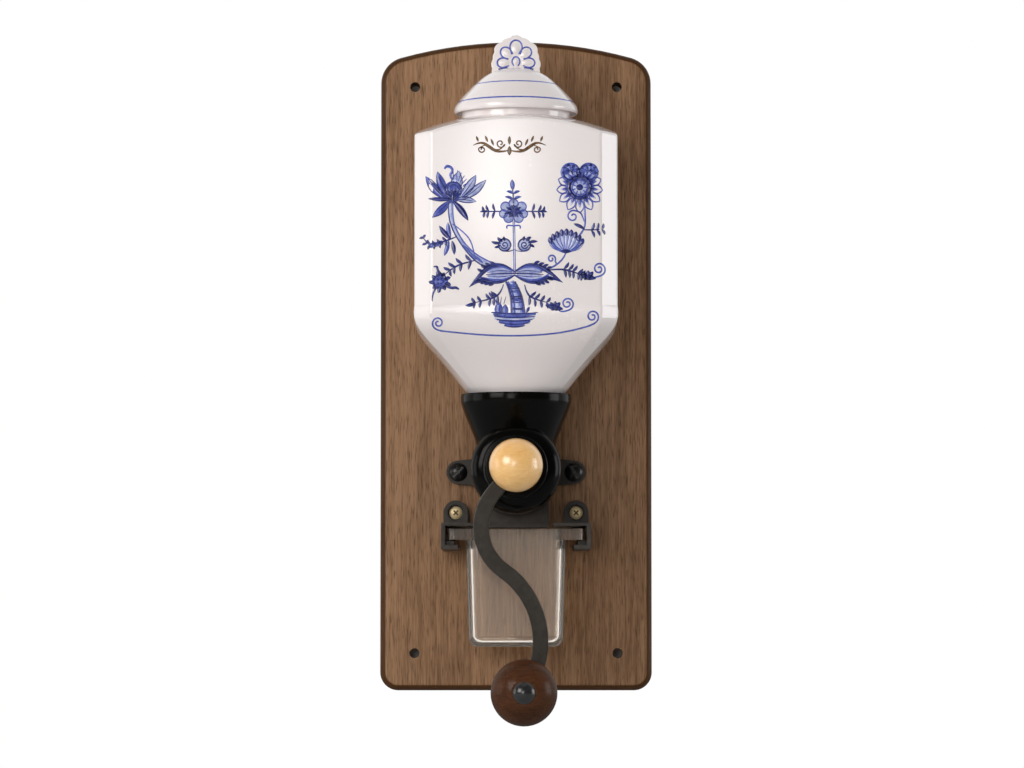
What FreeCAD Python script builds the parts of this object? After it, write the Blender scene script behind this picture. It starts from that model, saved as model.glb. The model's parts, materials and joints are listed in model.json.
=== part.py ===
"""Wall-mounted hand coffee mill: porcelain hopper, cone burrs, crank and catch cup on a board.

Frame: +Z up, the front faces -Y, the wall face of the board is the plane Y = 0, and the origin is
the centre of the four wall screw holes. "Out" is the distance from the wall, so Y = -out.
"""
import FreeCAD, Part
import math
import os

import Sketcher

Vector = FreeCAD.Vector

# Driving sizes in millimetres: name, value, what it measures.
SIZES = [
    ("board_width", 150.0, "backboard, side to side"),
    ("board_height", 360.0, "backboard, bottom edge to crown"),
    ("board_thickness", 18.0, "backboard"),
    ("board_crown", 182.5, "crown of the arch above the origin"),
    ("board_arch_radius", 240.0, "arched top edge"),
    ("board_top_corner", 15.0, "rounding of the upper corners"),
    ("board_bottom_corner", 10.0, "rounding of the lower corners"),
    ("board_edge_round", 4.0, "rounding of the front edge"),
    ("wall_hole_radius", 2.75, "wall screw holes"),
    ("wall_hole_span_x", 112.0, "wall screw holes, side to side"),
    ("wall_hole_span_z", 314.0, "wall screw holes, up and down"),
    ("wall_hole_low", 2.5, "centre of the wall screws below the board's middle"),
    ("jar_width", 109.0, "hopper, side to side"),
    ("jar_depth", 82.0, "hopper, back to front"),
    ("jar_wall", 4.0, "porcelain wall"),
    ("jar_chamfer", 9.0, "cut of the hopper's upright corners"),
    ("jar_edge_round", 2.5, "rounding of the cut corners"),
    ("jar_gap", 3.0, "board to hopper, filled by the spacer"),
    ("jar_cone_rise", 31.2, "funnel rim to where the cone would meet the side"),
    ("jar_cone_round", 3.4, "height of the rounding above the cone"),
    ("jar_cone_smile", 4.8, "how much higher the cone meets the corners"),
    ("jar_straight_rise", 46.0, "funnel rim to the plain upright part"),
    ("shoulder_rise", 152.9, "funnel rim to the crown of the shoulder dome"),
    ("shoulder_radius", 143.0, "sphere of the shoulder dome"),
    ("shoulder_edge_round", 1.5, "rounding where the dome meets the sides"),
    ("neck_rise", 1.2, "crown of the shoulder dome to the top of the neck"),
    ("neck_radius", 29.5, "outside of the neck"),
    ("spigot_radius", 25.8, "outside of the hopper's lower end"),
    ("spigot_depth", 7.0, "how far the hopper's lower end enters the funnel"),
    ("jar_screw_rise", 96.0, "funnel rim to the screw in the hopper's back wall"),
    ("jar_screw_radius", 2.0, "shank of the hopper screw"),
    ("jar_screw_head", 4.0, "head of the hopper screw, radius"),
    ("jar_washer_radius", 8.0, "washer and spacer of the hopper screw"),
    ("jar_washer_thickness", 1.6, "washer of the hopper screw"),
    ("lid_radius", 34.0, "outside of the lid's rim"),
    ("lid_height", 22.5, "neck to the crown of the lid"),
    ("lid_rim_thickness", 2.6, "upright edge of the lid's rim"),
    ("lid_dome_radius", 37.5, "sphere of the lid"),
    ("lid_wall", 4.0, "porcelain wall of the lid"),
    ("lid_plug_depth", 8.0, "collar of the lid inside the neck"),
    ("finial_width", 26.0, "fan on the lid, side to side"),
    ("finial_height", 20.0, "fan on the lid, above the crown"),
    ("finial_thickness", 7.0, "fan on the lid, back to front"),
    ("finial_lobe_radius", 5.6, "each lobe of the fan"),
    ("mill_axis_drop", 57.3, "spindle axis below the centre of the wall screws"),
    ("funnel_rim_rise", 40.7, "spindle axis to the funnel rim"),
    ("funnel_rim_radius", 29.8, "outside of the funnel rim"),
    ("funnel_rim_band", 4.6, "upright band of the funnel rim"),
    ("funnel_throat_radius", 22.2, "outside of the funnel where it meets the drum"),
    ("funnel_throat_rise", 16.3, "spindle axis to the funnel's throat"),
    ("funnel_wall", 5.2, "funnel wall at the throat"),
    ("gasket_thickness", 1.0, "ring under the hopper's spigot"),
    ("drum_radius", 24.4, "outside of the drum"),
    ("drum_wall", 3.4, "drum wall"),
    ("drum_front_wall", 4.0, "front wall of the drum"),
    ("drum_length", 66.0, "base plate to the drum's front face"),
    ("drum_edge_round", 8.0, "rounding of the drum's front edge"),
    ("base_thickness", 4.0, "base plate"),
    ("lug_span", 64.0, "between the two base screws"),
    ("lug_radius", 6.4, "rounded end of a lug"),
    ("lug_root_height", 10.0, "half height of a lug where it meets the drum"),
    ("chute_width", 36.0, "chute, side to side"),
    ("chute_depth", 16.0, "chute, back to front"),
    ("chute_wall", 2.4, "chute wall"),
    ("chute_drop", 29.3, "spindle axis to the chute's lip"),
    ("lip_thickness", 1.6, "lip of the chute and top plate of the rails"),
    ("mill_screw_radius", 2.5, "shank of a base screw"),
    ("mill_screw_head", 5.2, "head of a base screw, radius"),
    ("mill_screw_dome", 3.2, "head of a base screw, height"),
    ("housing_screw_radius", 1.5, "shank of a housing screw"),
    ("housing_screw_offset", 18.2, "housing screw from the spindle axis"),
    ("housing_boss_radius", 3.6, "boss for a housing screw"),
    ("spindle_radius", 4.0, "spindle in its bushes"),
    ("spindle_thread_radius", 3.4, "threaded front end of the spindle"),
    ("bush_wall", 2.2, "bronze bushes"),
    ("bush_length", 8.0, "bronze bushes"),
    ("burr_length", 14.0, "outer burr, back to front"),
    ("burr_chamber", 9.0, "base plate to the outer burr"),
    ("outer_burr_bore", 16.9, "outer burr, bore at the fine end"),
    ("outer_burr_mouth", 18.2, "outer burr, bore at the coarse end"),
    ("inner_burr_nose", 9.5, "inner burr, radius at the coarse end"),
    ("outer_groove", 3.0, "groove between the outer burr's teeth, width"),
    ("inner_groove", 2.4, "groove between the inner burr's teeth, width"),
    ("groove_depth", 1.2, "groove at the inner burr's coarse end, depth"),
    ("burr_gap", 0.6, "running gap at the fine end"),
    ("spring_radius", 7.0, "outside of the pressure spring"),
    ("spring_wall", 1.4, "pressure spring"),
    ("thrust_thickness", 1.5, "thrust washer"),
    ("thrust_radius", 10.0, "thrust washer"),
    ("nut_radius", 17.0, "adjusting nut disc"),
    ("nut_disc", 7.0, "adjusting nut disc, thickness"),
    ("nut_edge_round", 1.2, "rounding of the adjusting nut disc"),
    ("nut_hub_radius", 10.5, "adjusting nut hub"),
    ("nut_length", 13.5, "adjusting nut, whole length"),
    ("arm_width", 8.4, "crank arm"),
    ("arm_thickness", 4.0, "crank arm"),
    ("arm_hub_radius", 9.0, "eye of the arm on the spindle"),
    ("arm_eye_radius", 6.5, "eye of the arm at the handle"),
    ("arm_straight", 18.5, "straight run of the arm from the spindle"),
    ("arm_lead_angle", 40.2, "degrees of that run from straight down, to the left"),
    ("arm_upper_radius", 28.3, "upper bend of the arm"),
    ("arm_lower_radius", 45.5, "lower bend of the arm"),
    ("handle_side", 4.2, "handle axis to the right of the spindle"),
    ("handle_drop", 119.9, "handle axis below the spindle"),
    ("ball_radius", 14.25, "wooden ball"),
    ("ball_seat", 6.0, "radius of the ball's flat seat"),
    ("insert_radius", 5.0, "threaded insert in the ball"),
    ("insert_length", 15.0, "threaded insert in the ball"),
    ("knob_radius", 17.6, "handle knob"),
    ("knob_length", 30.0, "handle knob"),
    ("knob_neck_radius", 9.0, "handle knob where it meets the washer"),
    ("knob_neck_length", 3.6, "handle knob, straight neck"),
    ("knob_widest", 17.4, "washer to the widest place of the handle knob"),
    ("knob_face_margin", 1.0, "flat of the handle knob round the rivet head"),
    ("axle_radius", 3.0, "rivet of the handle"),
    ("axle_head_radius", 5.8, "rivet head"),
    ("axle_head_height", 3.2, "rivet head"),
    ("handle_washer_radius", 7.0, "washer behind the knob"),
    ("handle_washer_thickness", 1.0, "washer behind the knob"),
    ("rail_half_width", 40.4, "middle to the outside of a rail"),
    ("rail_inner", 20.0, "middle to the inner edge of a rail's top plate"),
    ("rail_length", 60.0, "rails, board to front end"),
    ("rail_height", 14.1, "rails, top plate to lip"),
    ("rail_wall", 2.2, "upright wall and lip of a rail"),
    ("rail_lip", 9.2, "lip of a rail, side to side"),
    ("runner_height", 2.3, "runner bar on a rail's lip"),
    ("runner_setback", 4.0, "runner bar behind the rail's front end"),
    ("ear_radius", 6.8, "screw ear of a rail"),
    ("ear_thickness", 5.0, "screw ear of a rail"),
    ("ear_rise", 6.9, "ear screw above the rail's top plate"),
    ("ear_side", 33.2, "ear screw from the middle"),
    ("rail_screw_radius", 1.8, "shank of a rail screw"),
    ("rail_screw_head", 3.6, "head of a rail screw, radius"),
    ("rail_screw_dome", 1.9, "head of a rail screw, height"),
    ("rail_recess_radius", 4.4, "recess round a rail screw"),
    ("rail_recess_depth", 2.4, "recess round a rail screw"),
    ("screw_bite", 12.0, "how far screws enter the board"),
    ("flange_half_width", 36.1, "middle to the side of the cup's flange"),
    ("flange_thickness", 5.8, "cup flange"),
    ("cup_top_width", 54.0, "cup below its flange"),
    ("cup_bottom_width", 50.6, "cup at its bottom"),
    ("cup_depth", 56.0, "cup below its flange, back to front"),
    ("cup_draft", 1.6, "how much each cup side leans in, front and back"),
    ("cup_height", 57.4, "cup below its flange"),
    ("cup_wall", 2.8, "cup wall"),
    ("cup_corner", 6.0, "rounding of the cup's corners"),
    ("cup_gap", 2.0, "board to the cup's flange"),
    ("flange_front", 3.0, "flange beyond the cup's front wall"),
    ("fit_clearance", 0.05, "running fit and seat clearance, on the radius"),
    ("loose_clearance", 0.4, "clearance of parts lifted or slid by hand"),
]

# Counts, and shares of a size for forms drawn by eye.
OUTER_TEETH, INNER_TEETH = 12, 10
CONE_SECTIONS = (1 / 8, 3 / 8, 2 / 3)
FAN_UPPER_SIDE, FAN_UPPER_RISE, FAN_LOWER_RISE, FAN_STEM_RISE = 0.72, 0.62, 0.3, 0.6
PAN_HEAD_TAPER = 0.7
SLOT_WIDTH, SLOT_FLOOR = 0.25, 0.55
MILL_SLOT_ANGLES, RAIL_SLOT_ANGLE = (45, -60), 45


class Dim:
    """A size with its present value and the sheet expression that gives it."""

    def __init__(self, value, text):
        self.value = float(value)
        self.text = text

    def __add__(self, other):
        other = as_dim(other)
        return Dim(self.value + other.value, f"({self.text} + {other.text})")

    def __radd__(self, other):
        return as_dim(other) + self

    def __sub__(self, other):
        other = as_dim(other)
        return Dim(self.value - other.value, f"({self.text} - {other.text})")

    def __rsub__(self, other):
        return as_dim(other) - self

    def __mul__(self, factor):
        factor = as_dim(factor)
        return Dim(self.value * factor.value, f"({self.text} * {factor.text})")

    def __rmul__(self, factor):
        return as_dim(factor) * self

    def __truediv__(self, divisor):
        divisor = as_dim(divisor)
        return Dim(self.value / divisor.value, f"({self.text} / {divisor.text})")

    def __neg__(self):
        return Dim(-self.value, f"(-{self.text})")


def as_dim(size):
    """Give a plain number the form of a Dim."""
    if isinstance(size, Dim):
        return size
    return Dim(size, f"{size:.6g}")


def root(size):
    """Square root of a Dim."""
    return Dim(math.sqrt(size.value), f"sqrt({size.text})")


doc = FreeCAD.newDocument("coffee_mill")
sheet = doc.addObject("Spreadsheet::Sheet", "Sizes")
for row, (alias, value, note) in enumerate(SIZES, start=1):
    sheet.set(f"A{row}", note)
    sheet.set(f"B{row}", f"{value:g}")
    sheet.setAlias(f"B{row}", alias)
doc.recompute()


class Sheet:
    """Attribute access to the driving sizes."""

    def __getattr__(self, alias):
        return Dim(getattr(sheet, alias), f"Sizes.{alias}")


D = Sheet()
UP = FreeCAD.Rotation()
OUT = FreeCAD.Rotation(Vector(0, 0, 1), Vector(0, -1, 0))
nodes = []


def bind(obj, prop, size):
    """Set a property and tie it to the sheet."""
    size = as_dim(size)
    obj.setExpression(prop, size.text)


def place(obj, x=0, out=0, z=0, turn=UP):
    """Put an object at x, a distance out from the wall, and a height z."""
    x, y, z = as_dim(x), -as_dim(out), as_dim(z)
    obj.Placement = FreeCAD.Placement(Vector(x.value, y.value, z.value), turn)
    bind(obj, "Placement.Base.x", x)
    bind(obj, "Placement.Base.y", y)
    bind(obj, "Placement.Base.z", z)
    return obj


def node(obj, label):
    """Name an object as a finished piece."""
    obj.Label = label
    nodes.append(obj)
    return obj


def box(name, size, x, out, z):
    """A box from its lowest x, its nearest distance from the wall and its lowest z."""
    obj = doc.addObject("Part::Box", name)
    bind(obj, "Length", size[0])
    bind(obj, "Width", size[1])
    bind(obj, "Height", size[2])
    return place(obj, x, as_dim(out) + size[1], z)


def rod(name, radius, length, x, out, z, turn=OUT):
    """A cylinder that starts at the given point and runs outwards, or upwards."""
    obj = doc.addObject("Part::Cylinder", name)
    bind(obj, "Radius", radius)
    bind(obj, "Height", length)
    return place(obj, x, out, z, turn)


def cone(name, radius, end_radius, length, x, out, z, turn=OUT):
    """A cone that starts at the given point and runs outwards, or upwards."""
    obj = doc.addObject("Part::Cone", name)
    bind(obj, "Radius1", radius)
    bind(obj, "Radius2", end_radius)
    bind(obj, "Height", length)
    return place(obj, x, out, z, turn)


def fuse(name, *pieces):
    """Join pieces into one."""
    obj = doc.addObject("Part::MultiFuse", name)
    obj.Shapes = list(pieces)
    obj.Refine = True
    return obj


def cut(name, base, *tools):
    """Take tools away from a base."""
    obj = doc.addObject("Part::Cut", name)
    obj.Base = base
    obj.Tool = tools[0] if len(tools) == 1 else fuse(name + "_tools", *tools)
    return obj


def group(name, *pieces):
    """Keep separate solids together."""
    obj = doc.addObject("Part::Compound", name)
    obj.Links = list(pieces)
    return obj


def plane_of(body, role):
    """One of a body's origin planes."""
    return [item for item in body.Origin.OriginFeatures if item.Role == role][0]


def pin_point(sketch, geometry, end, x, y):
    """Hold a sketch point at x, y from the sketch's origin."""
    for size, kind, axis in ((x, "DistanceX", -2), (y, "DistanceY", -1)):
        size = as_dim(size)
        if abs(size.value) < 1e-9:
            sketch.addConstraint(Sketcher.Constraint("PointOnObject", geometry, end, axis))
            continue
        ends = (-1, 1, geometry, end) if size.value > 0 else (geometry, end, -1, 1)
        size = size if size.value > 0 else -size
        index = sketch.addConstraint(Sketcher.Constraint(kind, *ends, size.value))
        sketch.setExpression(f"Constraints[{index}]", size.text)


def arc_between(start, end, radius, side):
    """A circle arc from start to end with its centre on the left (1) or right (-1) of the way."""
    chord = end - start
    middle = (start + end) * 0.5
    reach = math.sqrt(max(radius ** 2 - (chord.Length / 2) ** 2, 0.0))
    left = Vector(-chord.y, chord.x, 0).normalize()
    centre = middle + left * (reach * side)
    first, last = (start, end) if side > 0 else (end, start)
    angles = [math.atan2(point.y - centre.y, point.x - centre.x) for point in (first, last)]
    return Part.ArcOfCircle(Part.Circle(centre, Vector(0, 0, 1), radius), *angles)


def draw(body, plane, outline, holes=()):
    """Sketch a closed outline of points (x, y) or arc ends (x, y, radius, side), and round holes."""
    sketch = body.newObject("Sketcher::SketchObject", body.Name + "_sketch")
    sketch.AttachmentSupport = (plane_of(body, plane), "")
    sketch.MapMode = "FlatFace"
    corners = [Vector(as_dim(item[0]).value, as_dim(item[1]).value, 0) for item in outline]
    ends = []
    for index, item in enumerate(outline):
        start, end = corners[index - 1], corners[index]
        if len(item) == 2:
            geometry = sketch.addGeometry(Part.LineSegment(start, end))
            ends.append((geometry, 1, 2))
            continue
        radius, side = as_dim(item[2]), item[3]
        geometry = sketch.addGeometry(arc_between(start, end, radius.value, side))
        ends.append((geometry, 1, 2) if side > 0 else (geometry, 2, 1))
        held = sketch.addConstraint(Sketcher.Constraint("Radius", geometry, radius.value))
        sketch.setExpression(f"Constraints[{held}]", radius.text)
    for index, item in enumerate(outline):
        geometry, _, last = ends[index]
        following, first, _ = ends[(index + 1) % len(outline)]
        sketch.addConstraint(Sketcher.Constraint("Coincident", geometry, last, following, first))
        pin_point(sketch, geometry, last, item[0], item[1])
    for x, y, radius in holes:
        radius = as_dim(radius)
        centre = Vector(as_dim(x).value, as_dim(y).value, 0)
        circle = sketch.addGeometry(Part.Circle(centre, Vector(0, 0, 1), radius.value))
        held = sketch.addConstraint(Sketcher.Constraint("Radius", circle, radius.value))
        sketch.setExpression(f"Constraints[{held}]", radius.text)
        pin_point(sketch, circle, 3, x, y)
    return sketch


def turned(name, profile, x, out, z, turn=OUT):
    """A turned body: a profile of (radius, distance along the axis) points, spun round the axis."""
    body = doc.addObject("PartDesign::Body", name)
    sketch = draw(body, "XZ_Plane", profile)
    spin = body.newObject("PartDesign::Revolution", name + "_spin")
    spin.Profile = sketch
    spin.ReferenceAxis = (sketch, ["V_Axis"])
    spin.Angle = 360
    doc.recompute()
    return place(body, x, out, z, turn)


def plate(name, outline, thickness, x, out, z, holes=(), turn=OUT):
    """A flat body: an outline of (x, up) points, thickened outwards."""
    body = doc.addObject("PartDesign::Body", name)
    sketch = draw(body, "XY_Plane", outline, holes)
    pad = body.newObject("PartDesign::Pad", name + "_pad")
    pad.Profile = sketch
    bind(pad, "Length", thickness)
    doc.recompute()
    return place(body, x, out, z, turn)


def rounded(body, name, radius, wanted):
    """Round those edges of a body's last feature that a test picks."""
    base = body.Tip
    edges = [f"Edge{i}" for i, edge in enumerate(base.Shape.Edges, start=1) if wanted(edge)]
    fillet = body.newObject("PartDesign::Fillet", name)
    fillet.Base = (base, edges)
    bind(fillet, "Radius", radius)
    doc.recompute()
    return fillet


# Places that several pieces share.
board_front = D.board_thickness
jar_axis_out = board_front + D.jar_gap + D.jar_depth / 2
axis_z = -D.mill_axis_drop
rim_z = axis_z + D.funnel_rim_rise
neck_z = rim_z + D.shoulder_rise + D.neck_rise
drum_back = board_front + D.base_thickness
drum_front = drum_back + D.drum_length
drum_bore = D.drum_radius - D.drum_wall
burr_back = drum_back + D.burr_chamber
burr_front = burr_back + D.burr_length
thrust_back = drum_front + D.bush_wall
nut_back = thrust_back + D.thrust_thickness + D.loose_clearance
arm_back = nut_back + D.nut_length + D.loose_clearance
arm_front = arm_back + D.arm_thickness
handle_z = axis_z - D.handle_drop
rail_top = axis_z - D.chute_drop
ear_z = rail_top + D.ear_rise


def make_backboard():
    """Arched board with rounded edges, wall holes and pilot holes for every screw in it."""
    half = D.board_width / 2
    bottom = D.board_crown - D.board_height
    arch = D.board_arch_radius
    spring = D.board_crown - arch + root(arch * arch - half * half)
    outline = [(-half, bottom), (half, bottom), (half, spring), (-half, spring, arch, 1)]
    reach_x, reach_z = D.wall_hole_span_x / 2, D.wall_hole_span_z / 2
    middle = bottom + D.board_height / 2 - D.wall_hole_low
    holes = [(x, middle + z, D.wall_hole_radius) for x in (-reach_x, reach_x) for z in (-reach_z, reach_z)]
    lug, ear = D.lug_span / 2, D.ear_side
    pilots = [(x, axis_z, D.mill_screw_radius + D.fit_clearance) for x in (-lug, lug)]
    pilots += [(x, ear_z, D.rail_screw_radius + D.fit_clearance) for x in (-ear, ear)]
    pilots += [(0, rim_z + D.jar_screw_rise, D.jar_screw_radius + D.fit_clearance)]
    board = plate("board_panel", outline, D.board_thickness, 0, 0, 0, holes)

    def upright(edge, above):
        ends = [vertex.Point for vertex in edge.Vertexes]
        is_corner = len(ends) == 2 and abs(abs(ends[0].x) - half.value) < 1e-6
        return is_corner and abs(ends[0].z - ends[1].z) > 1 and (ends[0].y > 0) == above

    rounded(board, "board_top_corners", D.board_top_corner, lambda edge: upright(edge, True))
    rounded(board, "board_bottom_corners", D.board_bottom_corner, lambda edge: upright(edge, False))
    front = D.board_thickness.value
    hole_reach = D.wall_hole_radius.value + 1e-6

    def front_rim(edge):
        in_front = all(abs(vertex.Point.z - front) < 1e-6 for vertex in edge.Vertexes)
        return in_front and not (len(edge.Vertexes) == 1 and edge.Curve.Radius < hole_reach)

    rounded(board, "board_front_edge", D.board_edge_round, front_rim)
    drills = [rod(f"pilot_{i}", radius, D.screw_bite, x, board_front - D.screw_bite, z)
              for i, (x, z, radius) in enumerate(pilots)]
    node(cut("board_drilled", board, *drills), "backboard")


def jar_edges(width, depth, chamfer, corner):
    """The jar's plan as edges of three points: eight flats with a rounding at every corner."""
    x, y = width / 2, depth / 2
    inner_x, inner_y = x - chamfer, y - chamfer
    points = [(inner_x, -y), (x, -inner_y), (x, inner_y), (inner_x, y),
              (-inner_x, y), (-x, inner_y), (-x, -inner_y), (-inner_x, -y)]
    points = [Vector(px, py, 0) for px, py in points]
    edges = []
    for before, point, after in zip([points[-1]] + points[:-1], points, points[1:] + points[:1]):
        back = (before - point).normalize()
        ahead = (after - point).normalize()
        half_turn = (math.pi - back.getAngle(ahead)) / 2
        trim = corner * math.tan(half_turn)
        inward = (back + ahead).normalize()
        crown = point + inward * (corner / math.cos(half_turn) - corner)
        edges.append((point + back * trim, crown, point + ahead * trim))
    flats = []
    for first, second in zip(edges, edges[1:] + edges[:1]):
        flats.append((first[2], (first[2] + second[0]) * 0.5, second[0]))
    return [edge for pair in zip(edges, flats) for edge in pair]


def jar_section(edges, radius, blend, z, smile=0.0):
    """A wire between the jar's plan (blend 0) and a circle (blend 1), higher at its corners."""
    flat_reach = min(point.Length for edge in edges for point in edge)
    corner_reach = max(point.Length for edge in edges for point in edge)
    lines = []
    for edge in edges:
        moved = []
        for point in edge:
            lift = smile * (point.Length - flat_reach) / (corner_reach - flat_reach)
            spot = point * (1 - blend) + point * (blend * radius / point.Length)
            moved.append(Vector(spot.x, spot.y, z + lift * (1 - blend)))
        first, middle, last = moved
        straight = (middle - first).cross(last - first).Length < 1e-7
        curve = Part.LineSegment(first, last) if straight else Part.Arc(first, middle, last)
        lines.append(curve.toShape())
    return Part.Wire(lines)


def jar_solid(shrink):
    """The jar's outside, or its inside when shrunk by the wall, about the jar's axis."""
    edges = jar_edges(D.jar_width.value - 2 * shrink, D.jar_depth.value - 2 * shrink,
                      D.jar_chamfer.value - shrink * (2 - math.sqrt(2)),
                      max(D.jar_edge_round.value - shrink, D.jar_edge_round.value / 2))
    rim, meet = rim_z.value, rim_z.value + D.jar_cone_rise.value
    straight = rim + D.jar_straight_rise.value
    spigot = D.spigot_radius.value - shrink
    rounding, smile = D.jar_cone_round.value, D.jar_cone_smile.value
    cone_drop = meet - rim
    sections = [jar_section(edges, spigot, 0.0, straight)]
    for drop, blend in ((-rounding, 0.0), (0.0, rounding / cone_drop / 3)):
        sections.append(jar_section(edges, spigot, blend, meet - drop, smile))
    for share in CONE_SECTIONS:
        sections.append(jar_section(edges, spigot, share, meet - share * cone_drop, smile))
    sections.append(jar_section(edges, spigot, 1.0, rim))
    lower = Part.makeLoft(sections, True, False)
    dome_radius = D.shoulder_radius.value - shrink
    dome_centre = rim + D.shoulder_rise.value - D.shoulder_radius.value
    tall = D.shoulder_rise.value - D.jar_straight_rise.value
    upper = Part.Face(sections[0]).extrude(Vector(0, 0, tall))
    upper = upper.common(Part.makeSphere(dome_radius, Vector(0, 0, dome_centre)))
    shoulder = [edge for edge in upper.Edges
                if edge.BoundBox.ZMin > straight + 1 and edge.BoundBox.DiagonalLength > 1e-3
                and edge.BoundBox.ZLength < edge.BoundBox.DiagonalLength / 2]
    upper = upper.makeFillet(D.shoulder_edge_round.value, shoulder)
    neck_radius = D.neck_radius.value - shrink
    neck = Part.makeCylinder(neck_radius, tall + D.neck_rise.value, Vector(0, 0, straight))
    tail = Part.makeCylinder(spigot, D.spigot_depth.value, Vector(0, 0, rim - D.spigot_depth.value))
    return lower.fuse([upper, neck, tail]).removeSplitter()


def make_hopper():
    """Porcelain jar, its seat ring in the funnel, and the screw that holds it to the board."""
    screw_z = rim_z + D.jar_screw_rise
    shape = jar_solid(0.0).cut(jar_solid(D.jar_wall.value))
    jar = doc.addObject("Part::Feature", "hopper_shell")
    jar.Shape = shape
    place(jar, 0, jar_axis_out)
    wall_back = board_front + D.jar_gap
    hole = rod("hopper_hole", D.jar_screw_radius + D.loose_clearance, D.jar_wall * 2,
               0, wall_back - D.jar_wall / 2, screw_z)
    node(cut("hopper_drilled", jar, hole), "hopper")

    seat_z = rim_z - D.spigot_depth - D.gasket_thickness
    bore = D.spigot_radius - D.jar_wall
    ring = rod("gasket_ring", D.spigot_radius, D.gasket_thickness, 0, jar_axis_out, seat_z, UP)
    opening = rod("gasket_bore", bore, D.gasket_thickness, 0, jar_axis_out, seat_z, UP)
    node(cut("gasket_cut", ring, opening), "hopper_gasket")

    def washer(label, out, thickness):
        disc = rod(label + "_disc", D.jar_washer_radius, thickness, 0, out, screw_z)
        bored = rod(label + "_bore", D.jar_screw_radius + D.loose_clearance, thickness, 0, out, screw_z)
        node(cut(label + "_cut", disc, bored), label)

    wall_front = wall_back + D.jar_wall
    washer("hopper_spacer", board_front, D.jar_gap)
    washer("hopper_washer", wall_front, D.jar_washer_thickness)
    head_back = wall_front + D.jar_washer_thickness
    shank_length = head_back - board_front + D.screw_bite
    shank = rod("hopper_screw_shank", D.jar_screw_radius, shank_length,
                0, board_front - D.screw_bite, screw_z)
    head = cone("hopper_screw_head", D.jar_screw_head, D.jar_screw_head * PAN_HEAD_TAPER, D.jar_screw_radius,
                0, head_back, screw_z)
    node(fuse("hopper_screw_whole", shank, head), "hopper_screw")


def make_lid():
    """Dome lid with a plug collar below and an upright five-lobed fan on top."""
    plug = D.neck_radius - D.jar_wall - D.loose_clearance
    inside = plug - D.lid_wall
    centre = D.lid_plug_depth + D.lid_height - D.lid_dome_radius
    seat = D.lid_plug_depth
    rim_top = seat + D.lid_rim_thickness

    def dome_at(radius, shrink):
        sphere = D.lid_dome_radius - shrink
        return centre + root(sphere * sphere - radius * radius)

    crown = seat + D.lid_height
    edge = D.lid_radius - D.lid_rim_thickness / 2
    profile = [
        (0, crown - D.lid_wall),
        (inside, dome_at(inside, D.lid_wall), D.lid_dome_radius - D.lid_wall, -1),
        (inside, 0), (plug, 0), (plug, seat), (D.lid_radius, seat), (D.lid_radius, rim_top),
        (edge, dome_at(edge, 0)), (0, crown, D.lid_dome_radius, 1),
    ]
    dome = turned("lid_dome", profile, 0, jar_axis_out, neck_z - D.lid_plug_depth, UP)
    crown_z = neck_z + D.lid_height
    lobe = D.finial_lobe_radius
    back = jar_axis_out - D.finial_thickness / 2
    side = D.finial_width / 2 - lobe
    tall = D.finial_height
    places = ((0, tall - lobe), (side * FAN_UPPER_SIDE, tall * FAN_UPPER_RISE), (side, tall * FAN_LOWER_RISE))
    lobes = []
    for i, (x, rise) in enumerate(places):
        for sign in ((1, -1) if i else (1,)):
            spot = as_dim(x) * sign
            lobes.append(rod(f"fan_{len(lobes)}", lobe, D.finial_thickness, spot, back, crown_z + rise))
    stem = box("fan_stem", (side * 2, D.finial_thickness, tall * FAN_STEM_RISE), -side, back,
               crown_z - D.lid_wall / 2)
    node(fuse("lid_whole", dome, stem, *lobes), "lid")


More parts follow.
